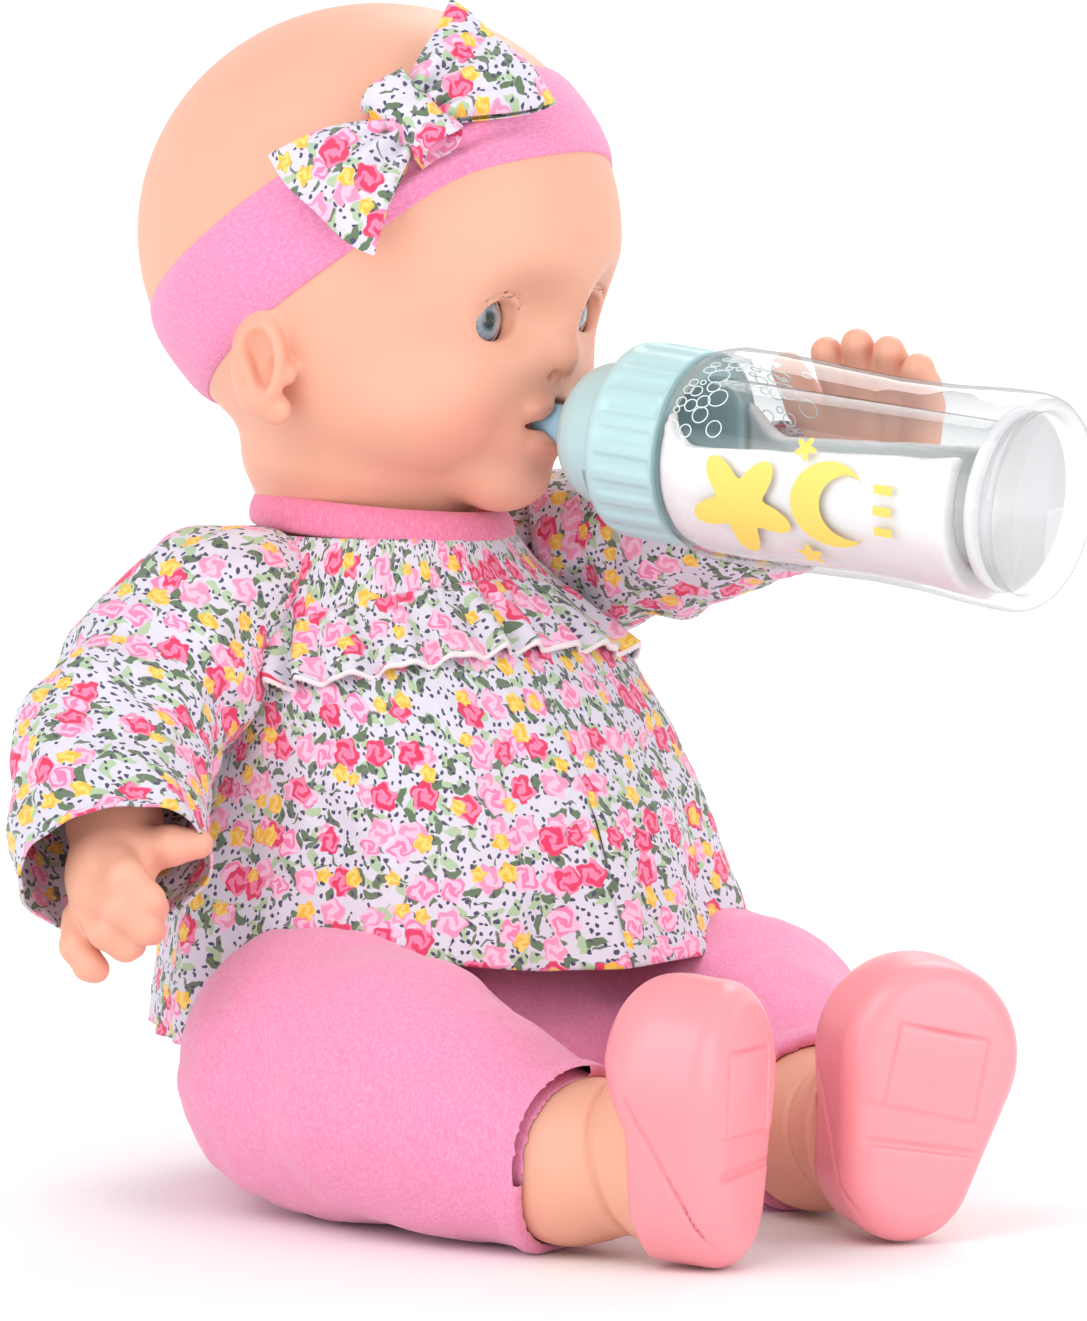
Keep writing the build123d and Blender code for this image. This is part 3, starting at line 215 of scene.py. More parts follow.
def polygonise(f, low, high, step):
    """Surface nets over f < 0, in a box, with points moved onto the surface."""
    low, high = np.array(low, float), np.array(high, float)
    n = np.ceil((high - low) / step).astype(int) + 1
    coarse = 4
    nc = (n + coarse - 1) // coarse + 1
    axes = [low[i] + np.arange(nc[i]) * step * coarse for i in range(3)]
    grid = np.stack(np.meshgrid(*axes, indexing="ij"), -1)
    rough = f(grid.reshape(-1, 3)).reshape(nc)
    near = np.abs(rough) < step * coarse * 1.9
    grown = near.copy()
    for axis in range(3):
        grown |= np.roll(near, 1, axis)
    field = rough.repeat(coarse, 0).repeat(coarse, 1).repeat(coarse, 2)
    mask = grown.repeat(coarse, 0).repeat(coarse, 1).repeat(coarse, 2)
    idx = np.argwhere(mask)
    for start in range(0, len(idx), 400000):
        part = idx[start:start + 400000]
        field[part[:, 0], part[:, 1], part[:, 2]] = f(low + part * step)
    inside = field < 0
    corners = np.array([(x, y, z) for x in (0, 1) for y in (0, 1) for z in (0, 1)])
    size = np.array(field.shape) - 1
    count = np.zeros(size, np.int8)
    for c in corners:
        count += inside[c[0]:c[0] + size[0], c[1]:c[1] + size[1], c[2]:c[2] + size[2]]
    cells = np.argwhere((count > 0) & (count < 8))
    ids = -np.ones(size, np.int64)
    ids[cells[:, 0], cells[:, 1], cells[:, 2]] = np.arange(len(cells))
    values = np.stack([field[cells[:, 0] + c[0], cells[:, 1] + c[1], cells[:, 2] + c[2]] for c in corners], 1)
    total, hits = np.zeros((len(cells), 3)), np.zeros(len(cells))
    for i in range(8):
        for j in range(i + 1, 8):
            if abs(corners[i] - corners[j]).sum() != 1:
                continue
            a, b = values[:, i], values[:, j]
            cross = (a < 0) != (b < 0)
            t = np.where(cross, a / np.where(cross, a - b, 1), 0)
            point = corners[i] + t[:, None] * (corners[j] - corners[i])
            total += np.where(cross[:, None], point, 0)
            hits += cross
    points = low + (cells + total / hits[:, None]) * step
    faces = []
    for axis in range(3):
        u, v = (axis + 1) % 3, (axis + 2) % 3
        a = inside[tuple(slice(0, -1) if k == axis else slice(None) for k in range(3))]
        b = inside[tuple(slice(1, None) if k == axis else slice(None) for k in range(3))]
        edges = np.argwhere(a != b)
        edges = edges[(edges[:, u] > 0) & (edges[:, v] > 0) & (edges[:, u] < size[u]) & (edges[:, v] < size[v])]
        flip = b[edges[:, 0], edges[:, 1], edges[:, 2]]
        eu, ev = np.eye(3, dtype=int)[u], np.eye(3, dtype=int)[v]
        quad = [edges - eu - ev, edges - ev, edges, edges - eu]
        quad = np.stack([ids[q[:, 0], q[:, 1], q[:, 2]] for q in quad], 1)
        quad[flip] = quad[flip][:, ::-1]
        faces.append(quad)
    faces = np.concatenate(faces)
    h = step * 0.4
    for _ in range(3):
        value = f(points)
        grad = np.stack([(f(points + np.eye(3)[k] * h) - f(points - np.eye(3)[k] * h)) / (2 * h) for k in range(3)], 1)
        length = (grad**2).sum(1) + 1e-6
        move = -value[:, None] * grad / length[:, None]
        size_of = np.linalg.norm(move, axis=1)
        points = points + move * np.minimum(1, 0.35 * step / (size_of + 1e-9))[:, None]
    return points, faces


def new_object(name, points, faces, material, uv=None):
    """Smooth-shaded mesh from points in mm."""
    mesh = bpy.data.meshes.new(name)
    points = np.asarray(points, float) * MM
    mesh.from_pydata(points.tolist(), [], [tuple(int(i) for i in f) for f in faces])
    mesh.polygons.foreach_set("use_smooth", [True] * len(mesh.polygons))
    if uv is not None:
        layer = mesh.uv_layers.new(name="UVMap")
        loops = np.empty(len(mesh.loops), np.int32)
        mesh.loops.foreach_get("vertex_index", loops)
        layer.data.foreach_set("uv", np.asarray(uv, float)[loops].ravel())
    mesh.materials.append(material)
    obj = bpy.data.objects.new(name, mesh)
    bpy.context.scene.collection.objects.link(obj)
    return obj


def bind(obj, body, slot, *nodes):
    """The body a piece rides, its material slot (not used) and the CAD nodes it stands for."""
    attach(obj, body)
    if nodes:
        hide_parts(*nodes)


def attribute(obj, name, values):
    layer = obj.data.attributes.new(name, "FLOAT", "POINT")
    layer.data.foreach_set("value", np.asarray(values, np.float32))


def grid_surface(name, points, material, uv, wrap=False, thickness=0.0, subdivide=0):
    """Mesh from an array of points (rows, columns, 3) with its UVs; wrap closes the columns."""
    rows, columns = points.shape[:2]
    faces = [(i * columns + j, i * columns + j + 1, (i + 1) * columns + j + 1, (i + 1) * columns + j)
             for i in range(rows - 1) for j in range(columns - 1)]
    obj = new_object(name, points.reshape(-1, 3), faces, material, uv.reshape(-1, 2))
    if wrap:
        weld(obj)
    if thickness:
        solid = obj.modifiers.new("solid", "SOLIDIFY")
        solid.thickness, solid.offset = thickness * MM, -1.0
    if subdivide:
        sub = obj.modifiers.new("sub", "SUBSURF")
        sub.levels = sub.render_levels = subdivide
    apply_all(obj)
    return obj


def weld(obj):
    bm = bmesh.new()
    bm.from_mesh(obj.data)
    bmesh.ops.remove_doubles(bm, verts=bm.verts, dist=WELD)
    bm.to_mesh(obj.data)
    bm.free()


def apply_all(obj):
    if not obj.modifiers:
        return
    bpy.context.view_layer.update()
    done = bpy.data.meshes.new_from_object(obj.evaluated_get(bpy.context.evaluated_depsgraph_get()))
    old = obj.data
    obj.modifiers.clear()
    obj.data = done
    bpy.data.meshes.remove(old)


def lathe(name, profile, material, matrix, segments=96, shape=None):
    """Turned piece from (radius, station) points in mm about the local Z axis."""
    profile = np.array(profile, float)
    angles = np.linspace(0, 2 * math.pi, segments, endpoint=False)
    r = np.repeat(profile[:, :1], segments, 1)
    s = np.repeat(profile[:, 1:], segments, 1)
    if shape is not None:
        r = shape(r, s, angles[None, :])
    points = np.stack([r * np.cos(angles), r * np.sin(angles), s], -1)
    rows = len(profile)
    faces = [(i * segments + j, i * segments + (j + 1) % segments, (i + 1) * segments + (j + 1) % segments,
              (i + 1) * segments + j) for i in range(rows - 1) for j in range(segments)]
    obj = new_object(name, points.reshape(-1, 3), faces, material)
    weld(obj)
    obj.matrix_world = matrix
    return obj


def smooth_profile(points, steps=6):
    """Catmull-Rom curve through (radius, station) points; a repeated point makes a corner."""
    p = np.array(points, float)
    out = []
    for i in range(len(p) - 1):
        a, b, c, d = p[max(i - 1, 0)], p[i], p[i + 1], p[min(i + 2, len(p) - 1)]
        if np.allclose(b, c):
            continue
        a = b if np.allclose(a, b) else a
        d = c if np.allclose(c, d) else d
        for t in np.linspace(0, 1, steps, endpoint=False):
            out.append(0.5 * (2 * b + (c - a) * t + (2 * a - 5 * b + 4 * c - d) * t**2
                              + (3 * b - a - 3 * c + d) * t**3))
    out.append(p[-1])
    out = np.array(out)
    out[:, 0] = np.maximum(out[:, 0], 0)
    return out


# ---- materials -----------------------------------------------------------------------------------
def base_material(name, colour, roughness=0.5, **values):
    mat = bpy.data.materials.new(name)
    mat.use_nodes = True
    shader = mat.node_tree.nodes["Principled BSDF"]
    shader.inputs["Base Color"].default_value = (*colour, 1)
    shader.inputs["Roughness"].default_value = roughness
    for key, value in values.items():
        shader.inputs[key.replace("_", " ")].default_value = value
    return mat, mat.node_tree, shader


def soften(shader, weight, radius):
    """Light that goes a little way into vinyl, 4 mm at most."""
    shader.inputs["Subsurface Weight"].default_value = weight
    shader.inputs["Subsurface Radius"].default_value = radius
    shader.inputs["Subsurface Scale"].default_value = 0.004


class Nodes:
    """Short calls for building a node tree."""

    def __init__(self, tree):
        self.tree = tree

    def new(self, kind, **settings):
        node = self.tree.nodes.new(kind)
        for key, value in settings.items():
            setattr(node, key, value)
        return node

    def put(self, value, socket):
        if isinstance(value, bpy.types.NodeSocket):
            self.tree.links.new(value, socket)
        else:
            socket.default_value = value

    def math(self, operation, a, b=0.0, c=0.0, clamp=False):
        node = self.new("ShaderNodeMath", operation=operation, use_clamp=clamp)
        for value, socket in zip((a, b, c), node.inputs):
            self.put(value, socket)
        return node.outputs[0]

    def vector(self, operation, a, b=(0, 0, 0)):
        node = self.new("ShaderNodeVectorMath", operation=operation)
        self.put(a, node.inputs[0])
        self.put(b, node.inputs[1])
        return node.outputs["Value"] if operation in ("LENGTH", "DISTANCE", "DOT_PRODUCT") else node.outputs[0]

    def mix(self, factor, a, b):
        node = self.new("ShaderNodeMix", data_type="RGBA")
        self.put(factor, node.inputs["Factor"])
        for value, index in ((a, 6), (b, 7)):
            self.put((*value, 1) if isinstance(value, tuple) and len(value) == 3 else value, node.inputs[index])
        return node.outputs[2]

    def step(self, value, start, end):
        """0 before start, 1 after end; end may be the smaller."""
        node = self.new("ShaderNodeMapRange", interpolation_type="SMOOTHSTEP")
        for v, key in ((value, "Value"), (start, "From Min"), (end, "From Max"), (0.0, "To Min"), (1.0, "To Max")):
            self.put(v, node.inputs[key])
        return node.outputs["Result"]

    def noise(self, vector, scale, detail=2.0, roughness=0.5, dimensions="3D"):
        node = self.new("ShaderNodeTexNoise", noise_dimensions=dimensions)
        self.put(vector, node.inputs["Vector"])
        node.inputs["Scale"].default_value = scale
        node.inputs["Detail"].default_value = detail
        node.inputs["Roughness"].default_value = roughness
        return node.outputs["Fac"]

    def voronoi(self, vector, scale, randomness):
        node = self.new("ShaderNodeTexVoronoi", feature="F1", voronoi_dimensions="2D")
        self.put(vector, node.inputs["Vector"])
        node.inputs["Scale"].default_value = scale
        node.inputs["Randomness"].default_value = randomness
        return node

    def scale(self, vector, factors):
        return self.vector("MULTIPLY", vector, factors)

    def bump(self, height, strength, distance, shader, normal=None):
        node = self.new("ShaderNodeBump")
        node.inputs["Strength"].default_value = strength
        node.inputs["Distance"].default_value = distance
        self.put(height, node.inputs["Height"])
        if normal is not None:
            self.put(normal, node.inputs["Normal"])
        if shader is not None:
            self.put(node.outputs[0], shader.inputs["Normal"])
        return node.outputs[0]


def skin_material():
    mat, tree, shader = base_material("skin", (0.87, 0.50, 0.34), 0.46)
    n = Nodes(tree)
    place = n.new("ShaderNodeTexCoord").outputs["Object"]
    blush = n.new("ShaderNodeAttribute", attribute_name="blush").outputs["Fac"]
    soft = n.noise(place, 28, 3)
    tone = n.mix(n.math("MULTIPLY", soft, 0.35), (0.815, 0.425, 0.298), (0.785, 0.375, 0.257))
    colour = n.mix(n.math("MULTIPLY", blush, 0.85, clamp=True), tone, (0.79, 0.27, 0.20))
    n.put(colour, shader.inputs["Base Color"])
    soften(shader, 0.25, (1.0, 0.45, 0.28))
    fine = n.noise(place, 2600, 2)
    wide = n.noise(place, 260, 2)
    first = n.bump(fine, 0.06, 0.0002, None)
    n.bump(wide, 0.05, 0.0008, shader, first)
    rough = n.math("MULTIPLY_ADD", wide, 0.14, 0.40)
    n.put(rough, shader.inputs["Roughness"])
    return mat


def knit_material(name, light, dark, rib=0.0009, uv=False):
    """Heathered jersey: fine columns of stitches, pale flecks and a little fuzz."""
    mat, tree, shader = base_material(name, light, 0.9)
    n = Nodes(tree)
    coords = n.new("ShaderNodeTexCoord")
    place = coords.outputs["UV"] if uv else coords.outputs["Object"]
    stretched = n.scale(place, (1, 0.4, 1) if uv else (1, 1, 0.4))
    fleck = n.noise(stretched, 1700, 3, 0.7)
    patch = n.noise(place, 60, 3)
    mixed = n.mix(n.step(fleck, 0.36, 0.66), dark, light)
    pale = tuple(min(1.0, c * 0.35 + 0.62) for c in light)
    heather = n.noise(stretched, 2600, 2, 0.8)
    mixed = n.mix(n.math("MULTIPLY", n.step(heather, 0.56, 0.74), 0.42), mixed, pale)
    mixed = n.mix(n.math("MULTIPLY", patch, 0.12), mixed, dark)
    n.put(mixed, shader.inputs["Base Color"])
    wave = n.new("ShaderNodeTexWave", wave_type="BANDS", bands_direction="X")
    wave.inputs["Scale"].default_value = 1 / rib / 6.2832 * 2
    wave.inputs["Distortion"].default_value = 1.2
    wave.inputs["Detail"].default_value = 1.0
    n.put(place, wave.inputs["Vector"])
    first = n.bump(wave.outputs["Fac"], 0.25, 0.0002, None)
    n.bump(n.noise(place, 2400, 3, 0.7), 0.5, 0.00025, shader, first)
    shader.inputs["Sheen Weight"].default_value = 0.35
    shader.inputs["Sheen Roughness"].default_value = 0.5
    shader.inputs["Specular IOR Level"].default_value = 0.15
    return mat


def floral_material():
    """White jersey with small roses, buds, leaves and dots, drawn from cell patterns on the UVs (in metres)."""
    mat, tree, shader = base_material("floral", (0.9, 0.88, 0.9), 0.8)
    n = Nodes(tree)
    uv = n.new("ShaderNodeTexCoord").outputs["UV"]
    warp = n.new("ShaderNodeTexNoise", noise_dimensions="2D")
    n.put(uv, warp.inputs["Vector"])
    warp.inputs["Scale"].default_value = 420
    warp.inputs["Detail"].default_value = 1.0
    shift = n.vector("MULTIPLY", n.vector("SUBTRACT", warp.outputs["Color"], (0.5, 0.5, 0.5)), (0.0016, 0.0016, 0))
    bent = n.vector("ADD", uv, shift)

    def cells(scale, offset, randomness=0.9):
        node = n.voronoi(n.vector("ADD", bent, offset), scale, randomness)
        local = n.vector("SUBTRACT", n.vector("ADD", bent, offset), node.outputs["Position"])
        split = n.new("ShaderNodeSeparateColor")
        n.put(node.outputs["Color"], split.inputs[0])
        return local, split.outputs

    def polar(local, turn=0.0):
        xyz = n.new("ShaderNodeSeparateXYZ")
        n.put(local, xyz.inputs[0])
        angle = n.math("ARCTAN2", xyz.outputs[1], xyz.outputs[0])
        return n.vector("LENGTH", local), n.math("ADD", angle, turn) if turn else angle

    def leaf_mask(scale, offset, length, width, share):
        local, rnd = cells(scale, offset)
        spin = n.math("MULTIPLY", rnd[0], 6.2832)
        xyz = n.new("ShaderNodeSeparateXYZ")
        n.put(local, xyz.inputs[0])
        c, s = n.math("COSINE", spin), n.math("SINE", spin)
        x = n.math("ADD", n.math("MULTIPLY", xyz.outputs[0], c), n.math("MULTIPLY", xyz.outputs[1], s))
        y = n.math("SUBTRACT", n.math("MULTIPLY", xyz.outputs[1], c), n.math("MULTIPLY", xyz.outputs[0], s))
        bow = n.math("MULTIPLY", n.math("MULTIPLY", x, x), 180.0)
        y = n.math("ADD", y, bow)
        d = n.math("SQRT", n.math("ADD", n.math("POWER", n.math("DIVIDE", x, length), 2.0),
                                  n.math("POWER", n.math("DIVIDE", y, width), 2.0)))
        keep = n.math("LESS_THAN", rnd[1], share)
        return n.math("MULTIPLY", n.step(d, 1.06, 0.9), keep)

    colour = (0.66, 0.63, 0.72)
    colour = n.mix(leaf_mask(185, (0.31, 0.17, 0), 0.0024, 0.0011, 0.62), colour, (0.40, 0.53, 0.33))
    colour = n.mix(leaf_mask(172, (1.73, 0.57, 0), 0.0023, 0.0010, 0.72), colour, (0.10, 0.16, 0.08))
    colour = n.mix(leaf_mask(240, (2.13, 1.37, 0), 0.0017, 0.00035, 0.55), colour, (0.13, 0.17, 0.12))
    dots = n.voronoi(n.vector("ADD", bent, (0.77, 3.1, 0)), 480, 0.75)
    split = n.new("ShaderNodeSeparateColor")
    n.put(dots.outputs["Color"], split.inputs[0])
    dot = n.math("MULTIPLY", n.step(dots.outputs["Distance"], 0.25, 0.19), n.math("LESS_THAN", split.outputs[0], 0.8))
    colour = n.mix(dot, colour, (0.045, 0.04, 0.10))

    def flower(colour, scale, offset, radius, share, pale, deep, petals, swirl):
        local, rnd = cells(scale, offset, 0.8)
        r, angle = polar(local)
        turned = n.math("ADD", angle, n.math("MULTIPLY", rnd[0], 6.2832))
        lobes = n.math("MULTIPLY", n.math("SINE", n.math("MULTIPLY", turned, petals)), 0.13)
        size = n.math("MULTIPLY", n.math("ADD", lobes, n.math("MULTIPLY_ADD", rnd[2], 0.35, 0.78)), radius)
        q = n.math("DIVIDE", r, size)
        keep = n.math("LESS_THAN", rnd[1], share)
        mask = n.math("MULTIPLY", n.step(q, 1.04, 0.94), keep)
        rings = n.math("SINE", n.math("ADD", n.math("MULTIPLY", q, swirl), n.math("MULTIPLY", turned, 2.0)))
        inner = n.mix(n.step(rings, 0.05, 0.5), pale, deep)
        inner = n.mix(n.step(q, 0.34, 0.22), inner, deep)
        return n.mix(mask, colour, inner)

    colour = flower(colour, 106, (0.37, 0.91, 0), 0.0030, 0.42, (0.84, 0.28, 0.46), (0.88, 0.50, 0.66), 5.0, 7.0)
    colour = flower(colour, 98, (3.11, 2.17, 0), 0.0031, 0.42, (0.90, 0.50, 0.67), (0.82, 0.20, 0.40), 4.0, 9.0)
    colour = flower(colour, 99, (5.71, 4.33, 0), 0.0032, 0.52, (0.70, 0.02, 0.10), (0.86, 0.20, 0.36), 5.0, 8.0)
    colour = flower(colour, 130, (7.19, 6.51, 0), 0.0020, 0.36, (0.86, 0.46, 0.03), (0.90, 0.62, 0.13), 5.0, 6.0)
    shade = n.noise(uv, 45, 2, dimensions="2D")
    colour = n.mix(n.math("MULTIPLY", shade, 0.10), colour, (0.72, 0.66, 0.75))
    n.put(colour, shader.inputs["Base Color"])
    weave_a = n.new("ShaderNodeTexWave", bands_direction="X")
    weave_b = n.new("ShaderNodeTexWave", bands_direction="Y")
    for wave in (weave_a, weave_b):
        wave.inputs["Scale"].default_value = 700
        wave.inputs["Distortion"].default_value = 0.6
        n.put(uv, wave.inputs["Vector"])
    both = n.math("ADD", weave_a.outputs["Fac"], weave_b.outputs["Fac"])
    first = n.bump(both, 0.12, 0.0001, None)
    crease = n.noise(n.scale(uv, (1, 0.45, 1)), 190, 4, 0.6, dimensions="2D")
    n.bump(crease, 0.42, 0.0012, shader, first)
    shader.inputs["Sheen Weight"].default_value = 0.2
    shader.inputs["Specular IOR Level"].default_value = 0.25
    return mat


def plastic(name, colour, roughness=0.35, grain=900, bump=0.05, **values):
    """Moulded plastic with a faint grain and small differences in gloss."""
    mat, tree, shader = base_material(name, colour, roughness, **values)
    n = Nodes(tree)
    place = n.new("ShaderNodeTexCoord").outputs["Object"]
    fine = n.noise(place, grain, 3)
    n.bump(fine, bump, 0.0003, shader)
    wide = n.noise(place, 40, 2)
    n.put(n.math("MULTIPLY_ADD", wide, 0.12, roughness - 0.06), shader.inputs["Roughness"])
    darker = tuple(c * 0.93 for c in colour)
    n.put(n.mix(n.math("MULTIPLY", wide, 0.5), colour, darker), shader.inputs["Base Color"])
    return mat


def eye_material():
    """Grey-blue iris with pale fibres, dark rim and pupil, on a white ball under clear gloss. Local +Z is the gaze."""
    mat, tree, shader = base_material("eye", (0.9, 0.9, 0.9), 0.08)
    n = Nodes(tree)
    place = n.scale(n.new("ShaderNodeTexCoord").outputs["Object"], (1000, 1000, 1000))
    xyz = n.new("ShaderNodeSeparateXYZ")
    n.put(place, xyz.inputs[0])
    flat = n.scale(place, (1, 1, 0))
    r = n.vector("LENGTH", flat)
    direction = n.vector("NORMALIZE", flat)
    fibre = n.noise(n.scale(direction, (9, 9, 9)), 2.2, 4, 0.75)
    fibre2 = n.noise(n.scale(direction, (22, 22, 22)), 2.0, 2, 0.6)
    iris = n.mix(n.step(fibre, 0.38, 0.62), (0.075, 0.105, 0.16), (0.30, 0.36, 0.45))
    iris = n.mix(n.math("MULTIPLY", n.step(fibre2, 0.52, 0.66), 0.8), iris, (0.62, 0.68, 0.74))
    iris = n.mix(n.step(r, 3.0, 1.9), iris, (0.05, 0.065, 0.09))
    iris = n.mix(n.step(r, 4.3, 5.1), iris, (0.03, 0.035, 0.055))
    front = n.math("GREATER_THAN", xyz.outputs[2], 0.0)
    inner = n.math("MULTIPLY", n.step(r, 5.45, 5.2), front)
    white = n.mix(n.noise(place, 0.35, 2), (0.86, 0.85, 0.84), (0.78, 0.72, 0.71))
    colour = n.mix(inner, white, iris)
    colour = n.mix(n.math("MULTIPLY", n.step(r, 1.95, 1.7), front), colour, (0.008, 0.008, 0.01))
    n.put(colour, shader.inputs["Base Color"])
    shader.inputs["Coat Weight"].default_value = 1.0
    shader.inputs["Coat Roughness"].default_value = 0.02
    return mat


def clear_material(name, tint, glass=0.25, roughness=0.015, ior=1.46):
    """Thin clear plastic: straight through, with painted shade greying it towards the edges, and glossier there; glass
    is the refracted share.
    """
    mat, tree, shader = base_material(name, (0.98, 0.99, 1.0), roughness, IOR=ior)
    shader.inputs["Transmission Weight"].default_value = 1.0
    n = Nodes(tree)
    through = n.new("ShaderNodeBsdfTransparent")
    gloss = n.new("ShaderNodeBsdfGlossy")
    gloss.inputs["Roughness"].default_value = roughness
    weight = n.new("ShaderNodeLayerWeight")
    weight.inputs["Blend"].default_value = 0.5
    place = n.new("ShaderNodeTexCoord").outputs["Object"]
    bumped = n.bump(n.noise(place, 30, 1), 0.02, 0.002, shader)
    n.put(bumped, gloss.inputs["Normal"])
    clear = n.new("ShaderNodeMixShader")
    edge = n.math("POWER", weight.outputs["Facing"], 3.0)
    # painted shade: the see-through colour darkens to 62% of the tint towards the edges, where a real wall bends the
    # light
    n.put(n.mix(edge, tint, tuple(c * 0.62 for c in tint)), through.inputs[0])
    n.put(n.math("MULTIPLY_ADD", edge, 0.55, 0.05, clamp=True), clear.inputs[0])
    n.put(through.outputs[0], clear.inputs[1])
    n.put(gloss.outputs[0], clear.inputs[2])
    both = n.new("ShaderNodeMixShader")
    both.inputs[0].default_value = glass
    n.tree.links.new(clear.outputs[0], both.inputs[1])
    n.tree.links.new(shader.outputs[0], both.inputs[2])
    n.tree.links.new(both.outputs[0], tree.nodes["Material Output"].inputs["Surface"])
    return mat


M = {}


def make_materials():
    M["skin"] = skin_material()
    M["pink"] = knit_material("pink_knit", (0.88, 0.33, 0.52), (0.82, 0.24, 0.43))
    M["band"] = knit_material("band_knit", (0.88, 0.33, 0.54), (0.80, 0.22, 0.43), rib=0.0007, uv=True)
    M["collar"] = knit_material("collar_knit", (0.86, 0.26, 0.42), (0.78, 0.18, 0.33), rib=0.0009, uv=True)
    M["floral"] = floral_material()
    M["thread"] = plastic("thread", (0.86, 0.78, 0.80), 0.8, 3000, 0.3)
    M["shoe"] = plastic("shoe_vinyl", (0.92, 0.32, 0.36), 0.30, 700, 0.04)
    soften(M["shoe"].node_tree.nodes["Principled BSDF"], 0.15, (1.0, 0.4, 0.4))
    M["aqua"] = plastic("aqua", (0.45, 0.66, 0.68), 0.34, 500, 0.03)
    M["teat"] = plastic("teat", (0.36, 0.62, 0.78), 0.25, 500, 0.02)
    M["clear"] = clear_material("clear", (0.985, 0.99, 0.995), 0.0)
    M["inner_clear"] = clear_material("inner_clear", (0.975, 0.985, 0.985), 0.0, 0.05)
    M["milk"] = plastic("milk", (0.90, 0.90, 0.90), 0.25, 200, 0.02)
    M["base"] = plastic("base_disc", (0.74, 0.74, 0.75), 0.4, 600, 0.04)
    M["yellow"] = plastic("yellow_print", (0.96, 0.68, 0.14), 0.45, 1500, 0.04)
    M["bubble"] = plastic("bubble", (0.88, 0.97, 0.97), 0.15, 500, 0.02)
    M["eye"] = eye_material()
    M["lash"] = plastic("lash", (0.10, 0.035, 0.015), 0.5, 2000, 0.02)
    M["cloth"] = knit_material("stuffed_cloth", (0.80, 0.48, 0.36), (0.70, 0.40, 0.30))
    M["tape"] = knit_material("tape", (0.82, 0.80, 0.80), (0.70, 0.68, 0.68))


# ---- head ----------------------------------------------------------------------------------------
EAR_TILT = rotation("Z", 24) @ rotation("X", 8)


def head_field(p):
    side = np.abs(p[:, 0])
    m = np.stack([side, p[:, 1], p[:, 2]], 1)  # the face is symmetric
    d = ellipsoid(p, SKULL_CENTRE, SKULL_RADII)
    d = smin(d, ellipsoid(p, (0, -7.5, 42), (43.5, 38.5, 35)), 10)
    d = smin(d, ellipsoid(m, (20, -25, 33.5), (20, 18.5, 16)), 7)
    d = smin(d, ellipsoid(p, (0, -33.5, 14.5), (13, 11.5, 9.5)), 7)
    d = smin(d, ellipsoid(p, (0, 3, 17), (32, 29, 15)), 8)
    d = smin(d, cone(p, (0, 3, -9), (0, 4, 24), 26.0, 26.0), 5)
    d = np.maximum(d, -9.5 - p[:, 2])
    # the hollow that the eyes lie in, the lids' bulge, then the bridge and the tip of the nose
    d = cut(d, ellipsoid(m, (19.5, -59.4, 51.2), (16, 15.2, 10.5)), 7)
    d = smin(d, ellipsoid(m, (20.5, -35.0, 51.5), (10.3, 10.3, 10.3)), 2.2)
    d = smin(d, cone(p, (0, -41.8, 60), (0, -44.6, 47), 3.4, 4.0), 6)
    d = smin(d, ellipsoid(p, (0, -48.2, 42.2), (5.7, 6.0, 4.9)), 2.2)
    d = smin(d, ellipsoid(m, (6.0, -46.0, 40.6), (3.3, 4.3, 3.4)), 1.0)
    d = cut(d, ellipsoid(m, (3.2, -49.6, 37.9), (1.7, 2.4, 1.4)), 0.9)
    # lips round the teat, the groove above them, the slit with its corners
    d = smin(d, ellipsoid(p, (0, -41.0, 26.5), (15.5, 8.0, 10.5)), 4)
    d = smin(d, ellipsoid(m, (4.2, -47.4, 30.3), (6.6, 3.4, 2.4)), 2.2)
    d = smin(d, ellipsoid(p, (0, -46.8, 22.2), (8.6, 4.2, 3.0)), 2.4)
    d = cut(d, ellipsoid(p, (0, -52.8, 35.0), (1.5, 3.4, 3.0)), 1.6)
    d = cut(d, ellipsoid(p, (0, -51.2, 26.2), (13.4, 8.8, 1.5)), 0.6)
    d = cut(d, ellipsoid(p, (0, -49.6, 16.6), (9, 4.0, 1.6)), 3.0)
    d = cut(d, cone(p, (0, -55, 27.4), (0, -28, 24.7), 5.5, 5.5), 0.7)
    # eyes: room for the ball, the opening between the lids, the fold over the upper lid
    d = cut(d, ellipsoid(m, (20.5, -35, 51.5), (9.5, 9.5, 9.5)), 0.3)
    tilt = rotation("Y", 6)
    d = cut(d, ellipsoid(m, (21.0, -46.0, 51.3), (8.0, 7.4, 4.8), tilt), 0.7)
    fold = np.abs(ellipsoid(m, (21.0, -45.0, 50.8), (9.8, 9.6, 7.4), tilt)) - 0.15
    crease = np.maximum(fold, np.maximum(54.4 - m[:, 2], m[:, 1] + 39.5))
    d = cut(d, crease, 0.8)
    # ears
    e = ellipsoid(m, (49.5, 3.0, 41.5), (4.6, 9.4, 12.6), EAR_TILT)
    e = cut(e, ellipsoid(m, (54.0, 1.6, 42.0), (4.2, 6.0, 8.4), EAR_TILT), 1.6)
    e = smin(e, cone(m, (51.0, 2.6, 34.5), (50.6, 7.2, 45.0), 1.5, 1.7), 1.6)
    e = smin(e, ellipsoid(m, (49.3, -4.6, 39.5), (2.4, 2.2, 2.8)), 1.5)
    e = smin(e, ellipsoid(m, (48.6, -0.8, 31.0), (3.2, 4.0, 3.8)), 2.0)
    d = smin(d, e, 2.4)
    d = cut(d, ellipsoid(m, (50.8, -1.0, 39.5), (2.2, 2.6, 3.4)), 1.2)
    return d


def spots(p, places):
    """0 to 1 for painted blush: soft spots given as centre, radius and strength."""
    total = np.zeros(len(p))
    for centre, radius, strength in places:
        q = ((p - np.array(centre)) / np.array(radius)) ** 2
        total += strength * np.exp(-q.sum(1))
    return np.clip(total, 0, 1)


